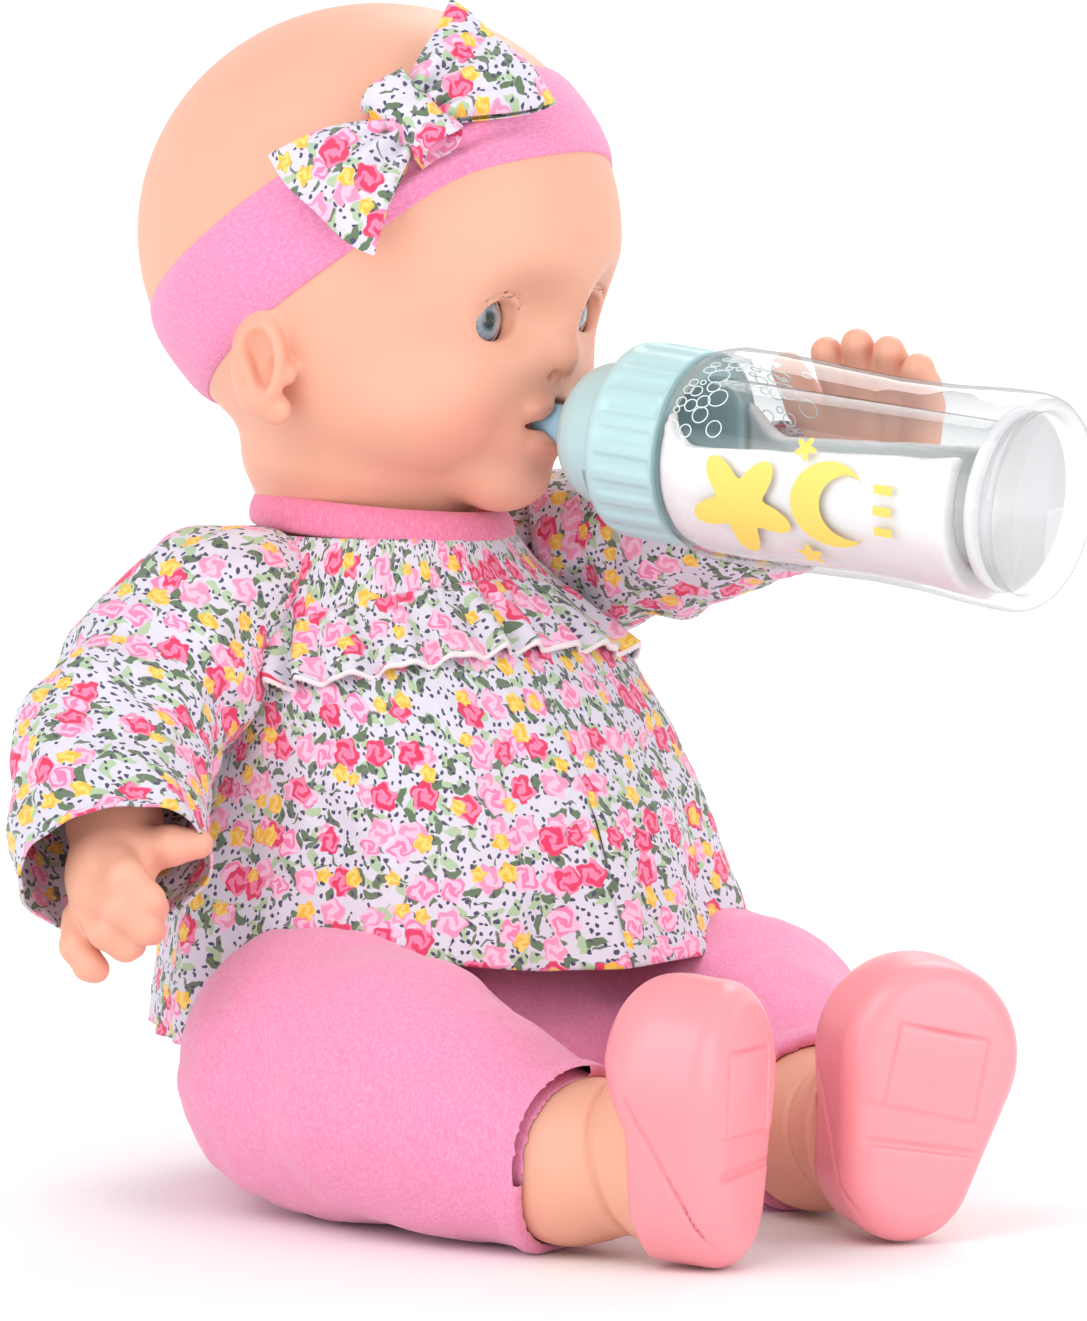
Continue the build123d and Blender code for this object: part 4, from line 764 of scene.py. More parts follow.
def make_head():
    step = 0.9
    points, faces = polygonise(head_field, (-62, -62, -12), (62, 66, 128), step)
    m = np.stack([np.abs(points[:, 0]), points[:, 1], points[:, 2]], 1)
    blush = spots(m, [((25, -42, 27), (12, 14, 10), 0.55), ((0, -53, 42), (7, 5, 5), 0.25),
                      ((52, 3, 42), (7, 9, 12), 0.28), ((0, -50, 29.8), (9, 6, 2.2), 0.6),
                      ((0, -49, 22.2), (8.5, 6, 3.0), 0.8), ((0, -44, 26.2), (12, 6, 1.6), 0.8),
                      ((0, -40, 9), (12, 10, 6), 0.18), ((2.7, -46, 40.6), (2.5, 4, 1.6), 0.5)])
    head = new_object("head", head_to_row(points), faces, M["skin"])
    attribute(head, "blush", blush)
    bind(head, "head", "skin", "head_shell")


def eye_frame(side):
    centre = head_to_row(np.array(EYES[side]))
    forward = Vector((math.sin(TURN), -math.cos(TURN), 0))
    left = Vector((math.cos(TURN), math.sin(TURN), 0))
    up = Vector((0, 0, 1))
    # local x to the doll's left, local y up, local z ahead
    rot = Matrix((left, up, forward)).transposed().to_4x4()
    return Matrix.Translation(Vector(centre * MM)) @ rot


def make_eyes():
    for side, seed in (("left", 3), ("right", 4)):
        profile = []
        for a in np.linspace(0, math.pi, 48):
            r = EYE_R + 0.3 * max(0.0, math.cos(a) - 0.80) / 0.20
            profile.append((r * math.sin(a), r * math.cos(a)))
        gaze = eye_frame(side) @ Matrix.Rotation(math.radians(GAZE), 4, "Y")
        ball = lathe(f"{side}_eye_ball", profile, M["eye"], gaze, 64)
        bind(ball, f"{side}_eye", "eye_white", f"{side}_eyeball", f"{side}_iris")
        rows = []
        for a in np.radians(np.linspace(29, 124, 20)):
            row = []
            for b in np.radians(np.linspace(-76, 76, 33)):
                r = 9.5 + (0.2 if a < math.radians(33) else 0.0)
                row.append((r * math.sin(b), r * math.cos(b) * math.sin(a), r * math.cos(b) * math.cos(a)))
            rows.append(row)
        rows = np.array(rows)
        lid = grid_surface(f"{side}_eye_lid", rows, M["skin"], rows[..., :2] * MM, thickness=0.35)
        attribute(lid, "blush", np.full(len(lid.data.vertices), 0.25))
        lid.matrix_world = eye_frame(side)
        bind(lid, f"{side}_eye", "lashes", f"{side}_eyelid")
        verts, faces = [], []
        rng = np.random.RandomState(seed)
        for k in range(13):
            b = math.radians(-30 + 60 * k / 12 + rng.uniform(-2, 2))
            a = math.radians(28)
            root = np.array([math.sin(b), math.cos(b) * math.sin(a), math.cos(b) * math.cos(a)]) * 9.7
            out = np.array([math.sin(b) * 1.5 + rng.uniform(-0.2, 0.2), 0.10, 1.0])
            out /= np.linalg.norm(out)
            length = 4.0 + rng.uniform(-0.5, 0.8)
            line = [root + out * length * t + np.array([0, -0.4 * t + 1.3 * t * t, 0]) for t in np.linspace(0, 1, 6)]
            for i, point in enumerate(line):
                w = 0.2 * (1 - 0.85 * i / 5)
                verts += [point + [w, 0, 0], point + [-w * 0.5, w * 0.8, 0], point + [-w * 0.5, -w * 0.8, 0]]
            start = len(verts) - 18
            for i in range(5):
                for j in range(3):
                    a0, a1 = start + 3 * i + j, start + 3 * i + (j + 1) % 3
                    faces.append((a0, a1, a1 + 3, a0 + 3))
        lashes = new_object(f"{side}_eye_lashes", verts, faces, M["lash"])
        lashes.matrix_world = eye_frame(side)
        bind(lashes, f"{side}_eye", "lashes")


def skull_point(direction, origin, lift):
    """Where a ray from origin leaves the skull, raised by lift, in the head's frame."""
    centre, radii = np.array(SKULL_CENTRE), np.array(SKULL_RADII) + np.asarray(lift)[..., None]
    o, d = (origin - centre) / radii, direction / radii
    a, b, c = (d * d).sum(-1), (o * d).sum(-1), (o * o).sum(-1) - 1
    t = (-b + np.sqrt(np.maximum(b * b - a * c, 0))) / a
    return origin + direction * t[..., None]


def make_headband():
    tilt = rotation("X", -34)
    phi, w = np.meshgrid(np.linspace(0, 2 * math.pi, 181), np.linspace(-1, 1, 25))
    near_bow = np.exp(-((np.angle(np.exp(1j * (phi - 4.05)))) / 0.35) ** 2)
    half = 12.6 - 3.0 * near_bow
    lift = 1.5 - 1.1 * np.abs(w) ** 6 + 0.5 * noise(np.stack([phi * 2.2, w * 1.2, phi * 0 + 3], -1))
    lift += near_bow * 0.9 * np.cos(w * 11)
    local = np.stack([np.cos(phi), np.sin(phi), np.zeros_like(phi)], -1) @ tilt.T
    origin = np.array([0, 0, 68.0]) + (w * half)[..., None] * (tilt @ np.array([0, 0, 1.0]))
    points = skull_point(local, origin, lift)
    uv = np.stack([w * half * MM, phi * 56 * MM], -1)
    band = grid_surface("headband_jersey", head_to_row(points), M["band"], uv, wrap=True, thickness=1.1, subdivide=1)
    bind(band, "head", "pink_knit", "headband")


def bow_frame(point, lift):
    """Origin and x, y, z directions on the skull at a point of the head's frame."""
    p = np.array(point, float)
    normal = (p - SKULL_CENTRE) / np.array(SKULL_RADII) ** 2
    normal /= np.linalg.norm(normal)
    along = np.array([40, -17, 25.0])
    x = along - normal * (along @ normal)
    x /= np.linalg.norm(x)
    return p + normal * lift, x, np.cross(normal, x), normal


def make_bow():
    origin, x, y, z = bow_frame((-36.5, -30.5, 96.0), 4.5)
    for name, flip, node in (("bow_loop_upper", 1, "bow_left_loop"), ("bow_loop_lower", -1, "bow_right_loop")):
        u = np.linspace(0, 1, 41)[:, None]
        w = np.linspace(-1, 1, 49)[None, :]
        half = 4.2 + 13.5 * u**0.8
        layers = []
        for lift in (1.0, -1.0):
            reach = 3.5 + 26.0 * u + 2.2 * (1 - w**2) * u
            pleat = np.cos(w * 9 + lift) * (1 - u) ** 0.7 * 1.7 + np.cos(w * 5 + 1 + flip) * u * 1.2
            puff = lift * (0.5 + 3.6 * np.sin(np.pi * np.clip(u, 0, 1)) ** 0.8 * (1 - w**2) ** 0.5)
            puff = puff * np.where(u > 0.97, 0.3, 1)
            droop = -0.008 * (reach**2) * 0.62 + 1.2
            px = flip * reach + 0 * w
            py = half * w + 0.8 * np.sin(u * 5 + flip)
            pz = pleat + puff + droop + 0 * w
            layers.append(origin + px[..., None] * x + py[..., None] * y + pz[..., None] * z)
        sheet = np.concatenate([layers[0], layers[1][::-1]], 0)
        lengths = np.concatenate([u[:, 0] * 28, 28 + (1 - u[::-1, 0]) * 28])
        uv = stack(lengths[:, None], np.concatenate([half, half[::-1]]) * w) * MM
        uv[..., 0] += 0.31 * (2 + flip)
        loop = grid_surface(name, head_to_row(sheet), M["floral"], uv, thickness=0.5, subdivide=1)
        bind(loop, "head", "floral", node)
    a = np.linspace(-0.15, 2 * math.pi - 0.15, 33)[:, None]
    w = np.linspace(-1, 1, 25)[None, :]
    rx = 6.4 * (1 + 0.13 * np.abs(w) ** 2)
    px = rx * np.cos(a) + 0 * w
    pz = 5.4 * np.sin(a) + 1.4 + 0.45 * np.cos(w * 8) + 0 * a
    py = 10.5 * w + 0.6 * np.cos(a * 3)
    knot = origin + px[..., None] * x + py[..., None] * y + pz[..., None] * z
    uv = stack(a * 6, w * 10.5) * MM + 0.77
    piece = grid_surface("bow_middle_knot", head_to_row(knot), M["floral"], uv, thickness=0.5, subdivide=1)
    bind(piece, "head", "floral", "bow_knot")


# ---- bottle --------------------------------------------------------------------------------------
def bottle_matrix():
    axis = Vector((math.sin(BOTTLE_TURN) * math.cos(BOTTLE_DROP), -math.cos(BOTTLE_TURN) * math.cos(BOTTLE_DROP),
                   -math.sin(BOTTLE_DROP)))
    x = Vector((0, 0, 1)).cross(axis).normalized()
    y = axis.cross(x)
    mouth = head_to_row(np.array(MOUTH_LOCAL)) * MM
    return Matrix.Translation(Vector(mouth)) @ Matrix((x, y, axis)).transposed().to_4x4()


def bottle_radius(s):
    """Outer radius of the clear wall at a station."""
    stations = [42, 45, 50, 60, 78, 94, 108, 120, 128, 132]
    radii = [20.8, 23.6, 24.9, 25.0, 24.2, 23.6, 24.0, 25.0, 25.3, 25.0]
    return np.interp(s, stations, radii)


def make_bottle():
    where = bottle_matrix() @ Matrix.Translation((0, 0, BOTTLE_OUT))
    teat = smooth_profile([(0, -10), (2.5, -9.6), (4.4, -8), (5.0, -5), (4.9, 0), (5.1, 4), (6.4, 8), (7.2, 11),
                           (9.5, 13), (9.5, 13), (0, 13)], 5)
    piece = lathe("bottle_teat_soft", teat, M["teat"], where, 64)
    bind(piece, "bottle", "teat", "bottle_teat")

    def slots(r, s, angle):
        gone = (np.abs(s - 20.6) < 1.15) & (np.abs(np.angle(np.exp(1j * (angle - 3.75)))) < 0.17)
        gone |= (np.abs(s - 20.6) < 1.15) & (np.abs(np.angle(np.exp(1j * (angle - 4.25)))) < 0.17)
        return np.where(gone & (r > 15), r - 1.8, r)

    dome = [(7.4, 8.0), (7.4, 8.0), (9.6, 8.0), (12.6, 9.4), (15.2, 12.0)]
    cap = np.concatenate([smooth_profile(dome, 6), smooth_profile([(15.2, 12.0), (16.6, 15.0), (17.5, 19.2)], 6)[1:],
                          [(17.5 + 0.13 * (s - 19.2), s) for s in np.linspace(19.3, 22, 15)],
                          [(17.9, 23.1), (14, 23.1), (14, 12)]])
    piece = lathe("bottle_cap_dome", cap, M["aqua"], where, 144, slots)
    bind(piece, "bottle", "aqua", "bottle_cap")

    def ribs(r, s, angle):
        wave = np.clip(np.cos(angle * 22) * 2.2, -1, 1)
        fade = np.clip((s - 25.5) / 2.5, 0, 1) * np.clip((42 - s) / 0.6, 0, 1)
        return np.where(r > 20, r - 0.32 * (1 - wave) * fade, r)

    collar = smooth_profile([(17.8, 22.6), (17.8, 22.6), (20.0, 22.8), (22.0, 23.6), (22.9, 25.4), (23.1, 30),
                             (23.1, 36), (23.0, 41.2), (22.5, 42.2), (22.5, 42.2), (16.5, 42.2), (16.5, 42.2),
                             (16.5, 24)], 7)
    piece = lathe("bottle_collar_ribbed", collar, M["aqua"], where, 264, ribs)
    bind(piece, "bottle", "aqua", "bottle_collar")

    outer = [(bottle_radius(s), s) for s in np.linspace(42.4, 131, 46)]
    outer += [(24.6, 132.6), (23.7, 133.8), (22.2, 134.0), (21.3, 133.2), (20.9, 131.5), (20.8, 129.5), (0.0, 129.5)]
    piece = lathe("bottle_wall", outer, M["clear"], where, 128)
    bind(piece, "bottle", "clear", "bottle_shell")

    rim = [(17.3, 43.2), (17.3, 121), (17.0, 121.8), (0, 121.8)]
    piece = lathe("bottle_inner_wall", rim, M["inner_clear"], where, 96)
    bind(piece, "bottle", "clear", "bottle_inner")

    make_milk(where)
    disc = [(0, 127.9), (20.4, 127.9), (21.2, 127.2), (21.4, 126.2), (20.6, 125.6), (0, 125.6)]
    piece = lathe("bottle_base_disc", disc, M["base"], where, 96)
    bind(piece, "bottle", "white", "bottle_base")
    make_print(where)
    make_bubbles(where)


def make_milk(where):
    """The liquid in the jacket, up to a level line, with a slightly curved top."""
    inverse = np.array(where.to_3x3().transposed())
    up = inverse @ np.array([0, 0, 1.0])

    def field(p):
        q = np.sqrt(p[:, 0] ** 2 + p[:, 1] ** 2)
        body = np.maximum(q - (bottle_radius(p[:, 2]) - 1.75), 17.6 - q)
        body = np.maximum(body, np.maximum(43.4 - p[:, 2], p[:, 2] - 121.5))
        level = p @ up - (-2.2 + 0.7 * noise(p / 9.0))
        level -= 10.0 * np.clip((52 - p[:, 2]) / 9, 0, 1) ** 2
        return cut(body, -level, 1.5)

    points, faces = polygonise(field, (-26, -26, 41), (26, 26, 124), 1.0)
    milk = new_object("bottle_milk_level", points, faces, M["milk"])
    milk.matrix_world = where
    bind(milk, "bottle", "milk", "bottle_milk")


def on_bottle(s, arc, lift):
    """Point on the clear wall at a station and an arc length round from the side that faces the camera."""
    r = bottle_radius(s)
    a = PRINT_ANGLE + arc / r
    return np.array([(r + lift) * math.cos(a), (r + lift) * math.sin(a), s])


def make_print(where):
    """A plain star, a moon and stripes printed on the wall."""
    verts, faces = [], []

    def polygon(outline, centre):
        rings = 6
        start = len(verts)
        verts.append(on_bottle(centre[0], centre[1], PRINT_LIFT))
        for k in range(1, rings + 1):
            for s, a in outline:
                verts.append(on_bottle(centre[0] + (s - centre[0]) * k / rings,
                                       centre[1] + (a - centre[1]) * k / rings, PRINT_LIFT))
        m = len(outline)
        for j in range(m):
            faces.append((start, start + 1 + j, start + 1 + (j + 1) % m))
            for k in range(rings - 1):
                o = start + 1 + k * m
                faces.append((o + j, o + j + m, o + (j + 1) % m + m, o + (j + 1) % m))

    def star(s, a, size, points=5, turn=0.3):
        outline = []
        for i in range(points * 12):
            t = i / (points * 12) * 2 * math.pi
            radius = size * (0.74 + 0.26 * math.cos(points * t))
            outline.append((s + radius * math.cos(t + turn), a + radius * math.sin(t + turn)))
        polygon(outline, (s, a))

    def moon(s, a, size):
        outline = []
        for t in np.linspace(0.75, 2 * math.pi - 0.75, 40):
            outline.append((s + size * math.cos(t), a + size * math.sin(t)))
        for t in np.linspace(2 * math.pi - 1.12, 1.12, 30):
            outline.append((s + size * 0.47 + size * 0.75 * math.cos(t), a + size * 0.75 * math.sin(t)))
        start = len(verts)
        both = list(zip(outline[:35], outline[35:][::-1]))
        for p, q in both:
            for k in range(5):
                verts.append(on_bottle(p[0] + (q[0] - p[0]) * k / 4, p[1] + (q[1] - p[1]) * k / 4, PRINT_LIFT))
        for i in range(len(both) - 1):
            for k in range(4):
                o = start + i * 5 + k
                faces.append((o, o + 1, o + 6, o + 5))

    def bar(s0, a0, s1, a1, width):
        n = 14
        start = len(verts)
        ds, da = s1 - s0, a1 - a0
        length = math.hypot(ds, da)
        ns, na = -da / length * width / 2, ds / length * width / 2
        for i in range(n + 1):
            t = i / n
            for e in (-1, 1):
                verts.append(on_bottle(s0 + ds * t + ns * e, a0 + da * t + na * e, PRINT_LIFT))
        for i in range(n):
            o = start + 2 * i
            faces.append((o, o + 1, o + 3, o + 2))

    star(68, 1.0, 13.5)
    moon(92, -2.0, 10.5)
    for k in range(3):
        bar(103.5, -8.0 + 5.0 * k, 108.5, -8.0 + 5.0 * k, 2.2)
    star(84, 12.5, 3.4, turn=0.9)
    star(84, -14.5, 3.0, turn=0.1)
    piece = new_object("bottle_print", verts, faces, M["yellow"])
    piece.matrix_world = where
    bind(piece, "bottle", "white")


def make_bubbles(where):
    """Small bubbles that cling inside the jacket over the milk, near the collar."""
    rng = np.random.RandomState(12)
    inverse = np.array(where.to_3x3().transposed())
    up = inverse @ np.array([0, 0, 1.0])
    verts, faces = [], []
    placed = []
    while len(placed) < 46:
        s = 45.5 + abs(rng.normal()) * 6
        a = rng.uniform(0, 2 * math.pi)
        size = rng.uniform(0.7, 2.6)
        r = bottle_radius(s) - 1.9 - size * 0.45
        c = np.array([r * math.cos(a), r * math.sin(a), s])
        if c @ up < 1.5 or s > 66 or any(np.linalg.norm(c - q) < (size + t) * 0.85 for q, t in placed):
            continue
        placed.append((c, size))
    for c, size in placed:
        radial = np.array([c[0], c[1], 0]) / np.hypot(c[0], c[1])
        tangent = np.cross(radial, [0, 0, 1.0])
        ring, tube = 20, 6
        start = len(verts)
        for i in range(ring):
            t = i / ring * 2 * math.pi
            d = tangent * math.cos(t) + np.array([0, 0, 1.0]) * math.sin(t)
            for j in range(tube):
                q = j / tube * 2 * math.pi
                verts.append(c + d * (size + 0.16 * math.cos(q)) + radial * 0.16 * math.sin(q))
        for i in range(ring):
            for j in range(tube):
                faces.append((start + i * tube + j, start + ((i + 1) % ring) * tube + j,
                              start + ((i + 1) % ring) * tube + (j + 1) % tube, start + i * tube + (j + 1) % tube))
    piece = new_object("bottle_bubbles", verts, faces, M["bubble"])
    piece.matrix_world = where
    bind(piece, "bottle", "clear")


# ---- arms ----------------------------------------------------------------------------------------
def right_hand_field(p):
    d = chain(p, [(-72, -1, 122), (-86, -6, 106), (-98, -20, 92), (-103, -26, 86)], [11, 12, 10.5, 8.8], 3)
    d = smin(d, ellipsoid(p, (-105.5, -27.5, 81.5), (8.5, 10.5, 11.5), rotation("Z", 30) @ rotation("Y", 18)), 4)
    d = smin(d, chain(p, [(-100, -30, 87), (-96, -37.5, 88.5), (-90.5, -41, 88.8)], [5.4, 4.6, 3.5], 1.5), 3.0)
    for points, radii in (
        ([(-107, -31, 86), (-110.5, -39.5, 82.5), (-107.5, -43.5, 77.5), (-104.5, -42, 75.5)], [5.0, 4.5, 4.0, 3.6]),
        ([(-109, -29, 80.5), (-112.0, -39.5, 75.8), (-108, -43, 71.5), (-104.8, -41.5, 70.2)], [4.9, 4.4, 3.9, 3.5]),
        ([(-110, -26, 75.5), (-113.0, -35.5, 70.2), (-109.5, -38, 67), (-106.5, -36.5, 66.6)], [4.7, 4.2, 3.8, 3.4]),
        ([(-110, -22.5, 71.5), (-114.2, -26.5, 66), (-113.2, -29.5, 61.8), (-111.8, -30, 60.8)], [4.4, 4.0, 3.6, 3.2]),
    ):
        d = smin(d, chain(p, points, radii, 1.2), 1.3)
    return d


def left_hand_field(p):
    where = np.array(bottle_matrix())
    rot, origin = where[:3, :3], where[:3, 3] / MM
    q = (p - origin) @ rot  # x level and to the doll's left, y up, z along the bottle
    arm = chain(p, [(60, -26, 149), (64, -56, 156), (66, -82, 165)], [11, 12, 10.5], 3)
    d = smin(arm, ellipsoid(q, (36.0, -3, 68), (7.6, 16.0, 15.5)), 6)
    for step, reach, lean in ((-9, 23.5, -3), (-2.4, 26.5, -1.5), (4.4, 26.0, 0.5), (10.8, 23, 2.5)):
        z = 71 + step
        d = smin(d, chain(q, [(35.5, 2, z), (34.8, 13, z + lean * 0.4), (31.6, reach - 5, z + lean * 0.8),
                              (28.0, reach - 0.5, z + lean)], [5.0, 4.7, 4.3, 3.8], 1.2), 1.3)
    d = smin(d, chain(q, [(36, 2, 60), (36, 9, 50), (34, 17, 45)], [5.6, 5.0, 4.0], 1.5), 3)
    return d


def make_arms():
    step = 0.8
    points, faces = polygonise(right_hand_field, (-124, -54, 52), (-58, 14, 138), step)
    blush = spots(points, [((-108, -40, 80), (7, 7, 7), 0.3), ((-112, -38, 70), (7, 7, 7), 0.3),
                           ((-91, -41, 89), (5, 5, 5), 0.3), ((-113, -28, 63), (6, 6, 5), 0.3)])
    hand = new_object("right_arm_and_hand", points, faces, M["skin"])
    attribute(hand, "blush", blush)
    bind(hand, "right_arm_body", "skin", "right_arm")
    points, faces = polygonise(left_hand_field, (44, -132, 134), (86, -14, 218), step)
    blush = spots(points, [((68, -104, 200), (14, 20, 10), 0.3)])
    hand = new_object("left_arm_and_hand", points, faces, M["skin"])
    attribute(hand, "blush", blush)
    bind(hand, "left_arm_body", "skin", "left_arm")


# ---- legs, leggings and shoes --------------------------------------------------------------------
LEGS = {
    "left": dict(hip=(44.8, -8, 34), path=[(44.8, -8, 34), (53, -42, 33.5), (50.5, -72, 32), (42, -96, 27.5),
                                           (28, -123, 20.5), (19, -153, 25)],
                 sole=(16, -171, 32.2), inward=(0.33, 0.94, 0), lean=13),
    "right": dict(hip=(-44.8, -8, 34), path=[(-44.8, -8, 34), (-54, -42, 33.5), (-57, -72, 32), (-56, -96, 27),
                                             (-49.5, -123, 21), (-41, -149, 25)],
                  sole=(-36, -166, 32.2), inward=(-0.42, 0.91, 0), lean=3),
}


def shoe_axes(side):
    """Rows are the lateral, toe and inward directions of a shoe."""
    inward = np.array(LEGS[side]["inward"], float)
    inward /= np.linalg.norm(inward)
    lateral = np.cross([0, 0, 1.0], inward)
    toe, a = np.cross(inward, lateral), math.radians(LEGS[side]["lean"])
    return np.stack([lateral * math.cos(a) + toe * math.sin(a), toe * math.cos(a) - lateral * math.sin(a), inward])


def egg(q, shrink=0.0):
    """Flat distance to the outline of the sole: two circles and their common tangents."""
    r1, r2, h = 16.5 - shrink, 22.0 - shrink, 26.0
    x, y = np.abs(q[:, 0]), q[:, 1] + 15.5
    b = (r1 - r2) / h
    a = math.sqrt(1 - b * b)
    low = np.hypot(x, y) - r1
    high = np.hypot(x, y - h) - r2
    side = a * x + b * y - r1
    k = x * -b + y * a
    return np.where(k < 0, low, np.where(k > a * h, high, side))


def rounded(d2, z, low, high, r):
    """Extrusion of a flat shape between two heights, with its edges rounded."""
    w = np.stack([d2 + r, np.maximum(low + r - z, z - (high - r))], -1)
    return np.minimum(w.max(-1), 0) + np.sqrt((np.maximum(w, 0) ** 2).sum(-1)) - r


def shoe_field(p):
    """The shoe in its own frame: x lateral, y to the toe, z from the sole to the ankle."""
    flat = p[:, :2]
    z = p[:, 2]
    d = rounded(egg(flat) + 0.06 * np.maximum(z - 5, 0), z, 0.0, 26.0, 7.0)
    d = smin(d, ellipsoid(p, (0, 13, 17), (20.5, 19.5, 15.5)), 5)
    foot = np.maximum(egg(flat, 2.6), 4.5 - z)
    mouth = np.maximum(rounded(egg((flat - [0, -7.5]) * [1.22, 1.35]) / 1.25 + 0.8, z, 6, 60, 5), -60 - z)
    d = cut(d, np.maximum(mouth, foot * 0.6), 2.0)
    # groove in front of the heel, arch and the outlined panel on the sole
    groove = np.abs(p[:, 1] + 9.8 + 0.06 * p[:, 0]) - 0.7
    d = cut(d, np.maximum(np.maximum(groove, z - 1.0), egg(flat, 1.5)), 0.5)
    arch = np.maximum(np.maximum(-(p[:, 1] + 9.4 + 0.06 * p[:, 0]), p[:, 1] + 2.0), z - 0.5)
    d = cut(d, np.maximum(arch, egg(flat, 2.0)), 1.2)
    box = np.maximum(np.abs(p[:, 0]) - 11.5, np.abs(p[:, 1] - 7.5) - 9.5)
    line = np.abs(box) - 0.35
    d = cut(d, np.maximum(line, z - 0.45), 0.25)
    # moulded lines on the sides
    swoosh = np.abs(z - (9 + 0.55 * (p[:, 1] + 16))) - 0.35
    d = cut(d, np.maximum(np.maximum(swoosh, -(egg(flat) + 1.2)), p[:, 1] - 8), 0.7)
    return d


def leg_field(p, side):
    leg = LEGS[side]
    path = leg["path"]
    d = chain(p, path[2:], [20.5, 19.5, 17.8, 16.5], 6)
    q = (p - np.array(leg["sole"])) @ shoe_axes(side).T
    foot = rounded(egg(q[:, :2], 3.2), q[:, 2], 5.0, 24.0, 7)
    d = smin(d, foot, 9)
    d = smin(d, ellipsoid(q, (0, 6, 22), (15, 14, 9)), 7)
    d = np.maximum(d, np.maximum(4.9 - q[:, 2], np.where(q[:, 2] < 22, egg(q[:, :2], 2.8), -9.0)))
    ankle = np.array(path[4]) * 0.45 + np.array(path[5]) * 0.55
    along = np.array(path[5], float) - np.array(path[3], float)
    along /= np.linalg.norm(along)
    along = along + np.array([0, 0, 0.25])
    fold = np.abs((p - ankle) @ along) - 0.3
    ring = d + 0.9
    return cut(d, np.maximum(fold, -ring), 1.6)


def make_legs():
    step = 0.9
    for side in ("left", "right"):
        leg = LEGS[side]
        low = np.minimum(leg["path"][2], leg["path"][5]) - [34, 26, 30]
        high = np.maximum(leg["path"][2], leg["path"][5]) + [34, 4, 36]
        low[2] = -1
        points, faces = polygonise(lambda p: leg_field(p, side), low, high, step)
        foot = new_object(f"{side}_leg_and_foot", points, faces, M["skin"])
        ankle = leg["path"][4]
        attribute(foot, "blush", spots(points, [(np.array(ankle) + [0, 0, -8], (20, 22, 14), 0.22)]))
        bind(foot, f"{side}_leg_body", "skin", f"{side}_leg", f"{side}_thigh")
        fine = 0.7
        points, faces = polygonise(shoe_field, (-28, -36, -2), (28, 37, 36), fine)
        points = points @ shoe_axes(side) + np.array(leg["sole"])
        shoe = new_object(f"{side}_slip_on_shoe", points, faces, M["shoe"])
        bind(shoe, f"{side}_leg_body", "shoe_pink", f"{side}_shoe")


def leggings_field(p):
    d = smin(ellipsoid(p, (0, -11, 33), (54, 47, 37)), ellipsoid(p, (0, -9, 14), (51, 43, 20)), 8)
    d = smin(d, cone(p, (-26, -46, 26), (26, -46, 26), 22, 22), 12)
    inner = None
    calm = np.ones(len(p))
    hips = {"left": (40, -18, 31), "right": (-40, -18, 31)}
    for side in ("left", "right"):
        path = [np.array(point, float) for point in LEGS[side]["path"]]
        c = path[3]
        along = (path[4] - c) / np.linalg.norm(path[4] - c)
        end = c + along * 29
        leg = smin(chain(p, [hips[side], *path[1:4]], [27.5, 31.0, 29.0, 25.5], 10),
                   cone(p, c, c + along * 40, 25.0, 20.5), 6)
        out = (p - end) @ along
        leg = leg - 0.7 * np.clip((out + 5.6) / 1.4, 0, 1)  # the cloth is folded over at the hem
        near = np.linalg.norm(p - end, axis=1) < 60
        d = smin(d, np.where(near, np.maximum(leg, out), leg), 7)
        calm *= np.where(near, np.clip(-out / 22.0, 0, 1), 1)
        hollow = np.maximum(cone(p, c, c + along * 40, 22.6, 18.4), -((p - (c + along * 6)) @ along))
        inner = hollow if inner is None else np.minimum(inner, hollow)
    fold = noise(p / np.array([17.0, 22, 17])) * 2.4 + noise(p / 8.0 + 5) * 0.8
    d = cut(d + fold * calm, inner, 0.4)
    return np.maximum(d, 0.4 - p[:, 2])


def make_leggings():
    step = 1.3
    points, faces = polygonise(leggings_field, (-92, -128, -2), (92, 50, 80), step)
    middle = points[faces].mean(1)
    for side, sign in (("left", 1), ("right", -1)):
        mine = faces[(middle[:, 0] * sign) >= 0]
        used, again = np.unique(mine, return_inverse=True)
        part = new_object(f"leggings_{side}_half", points[used], again.reshape(mine.shape), M["pink"])
        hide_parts(f"{side}_pants_leg", *(["pants_seat"] if sign > 0 else []))
        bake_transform(part)


# ---- blouse --------------------------------------------------------------------------------------
BLOUSE_RINGS = np.array([
    # height, middle along X and Y, half width, half depth
    (36, 4, -19, 71, 65), (50, 4, -19, 70, 63), (62, 4, -18, 68, 60), (90, 4, -16, 61, 53.5), (112, 3, -13, 54, 45),
    (126, 2, -9, 51, 39.5), (138, 1, -4, 45, 35.5), (147, 0, -1, 36.5, 33.0), (153, 0, 0, 31.2, 31.2),
])


def blouse_surface(theta, z, out=0.0):
    """Point of the blouse at an angle from the doll's front, positive to its left."""
    cx, cy, rx, ry = [np.interp(z, BLOUSE_RINGS[:, 0], BLOUSE_RINGS[:, k]) for k in (1, 2, 3, 4)]
    return np.stack([cx + (rx + out) * np.sin(theta), cy - (ry + out) * np.cos(theta), z + 0 * theta], -1)


def flare_at(theta, z):
    """How far the front stands out on the doll's left, where the raised arm lifts the cloth."""
    reach = np.interp(z, [50, 62, 90, 112, 126, 140], [9, 5, 4, 4, 3, 0])
    return reach * np.exp(-((np.angle(np.exp(1j * (theta - 0.95)))) / 0.62) ** 2)


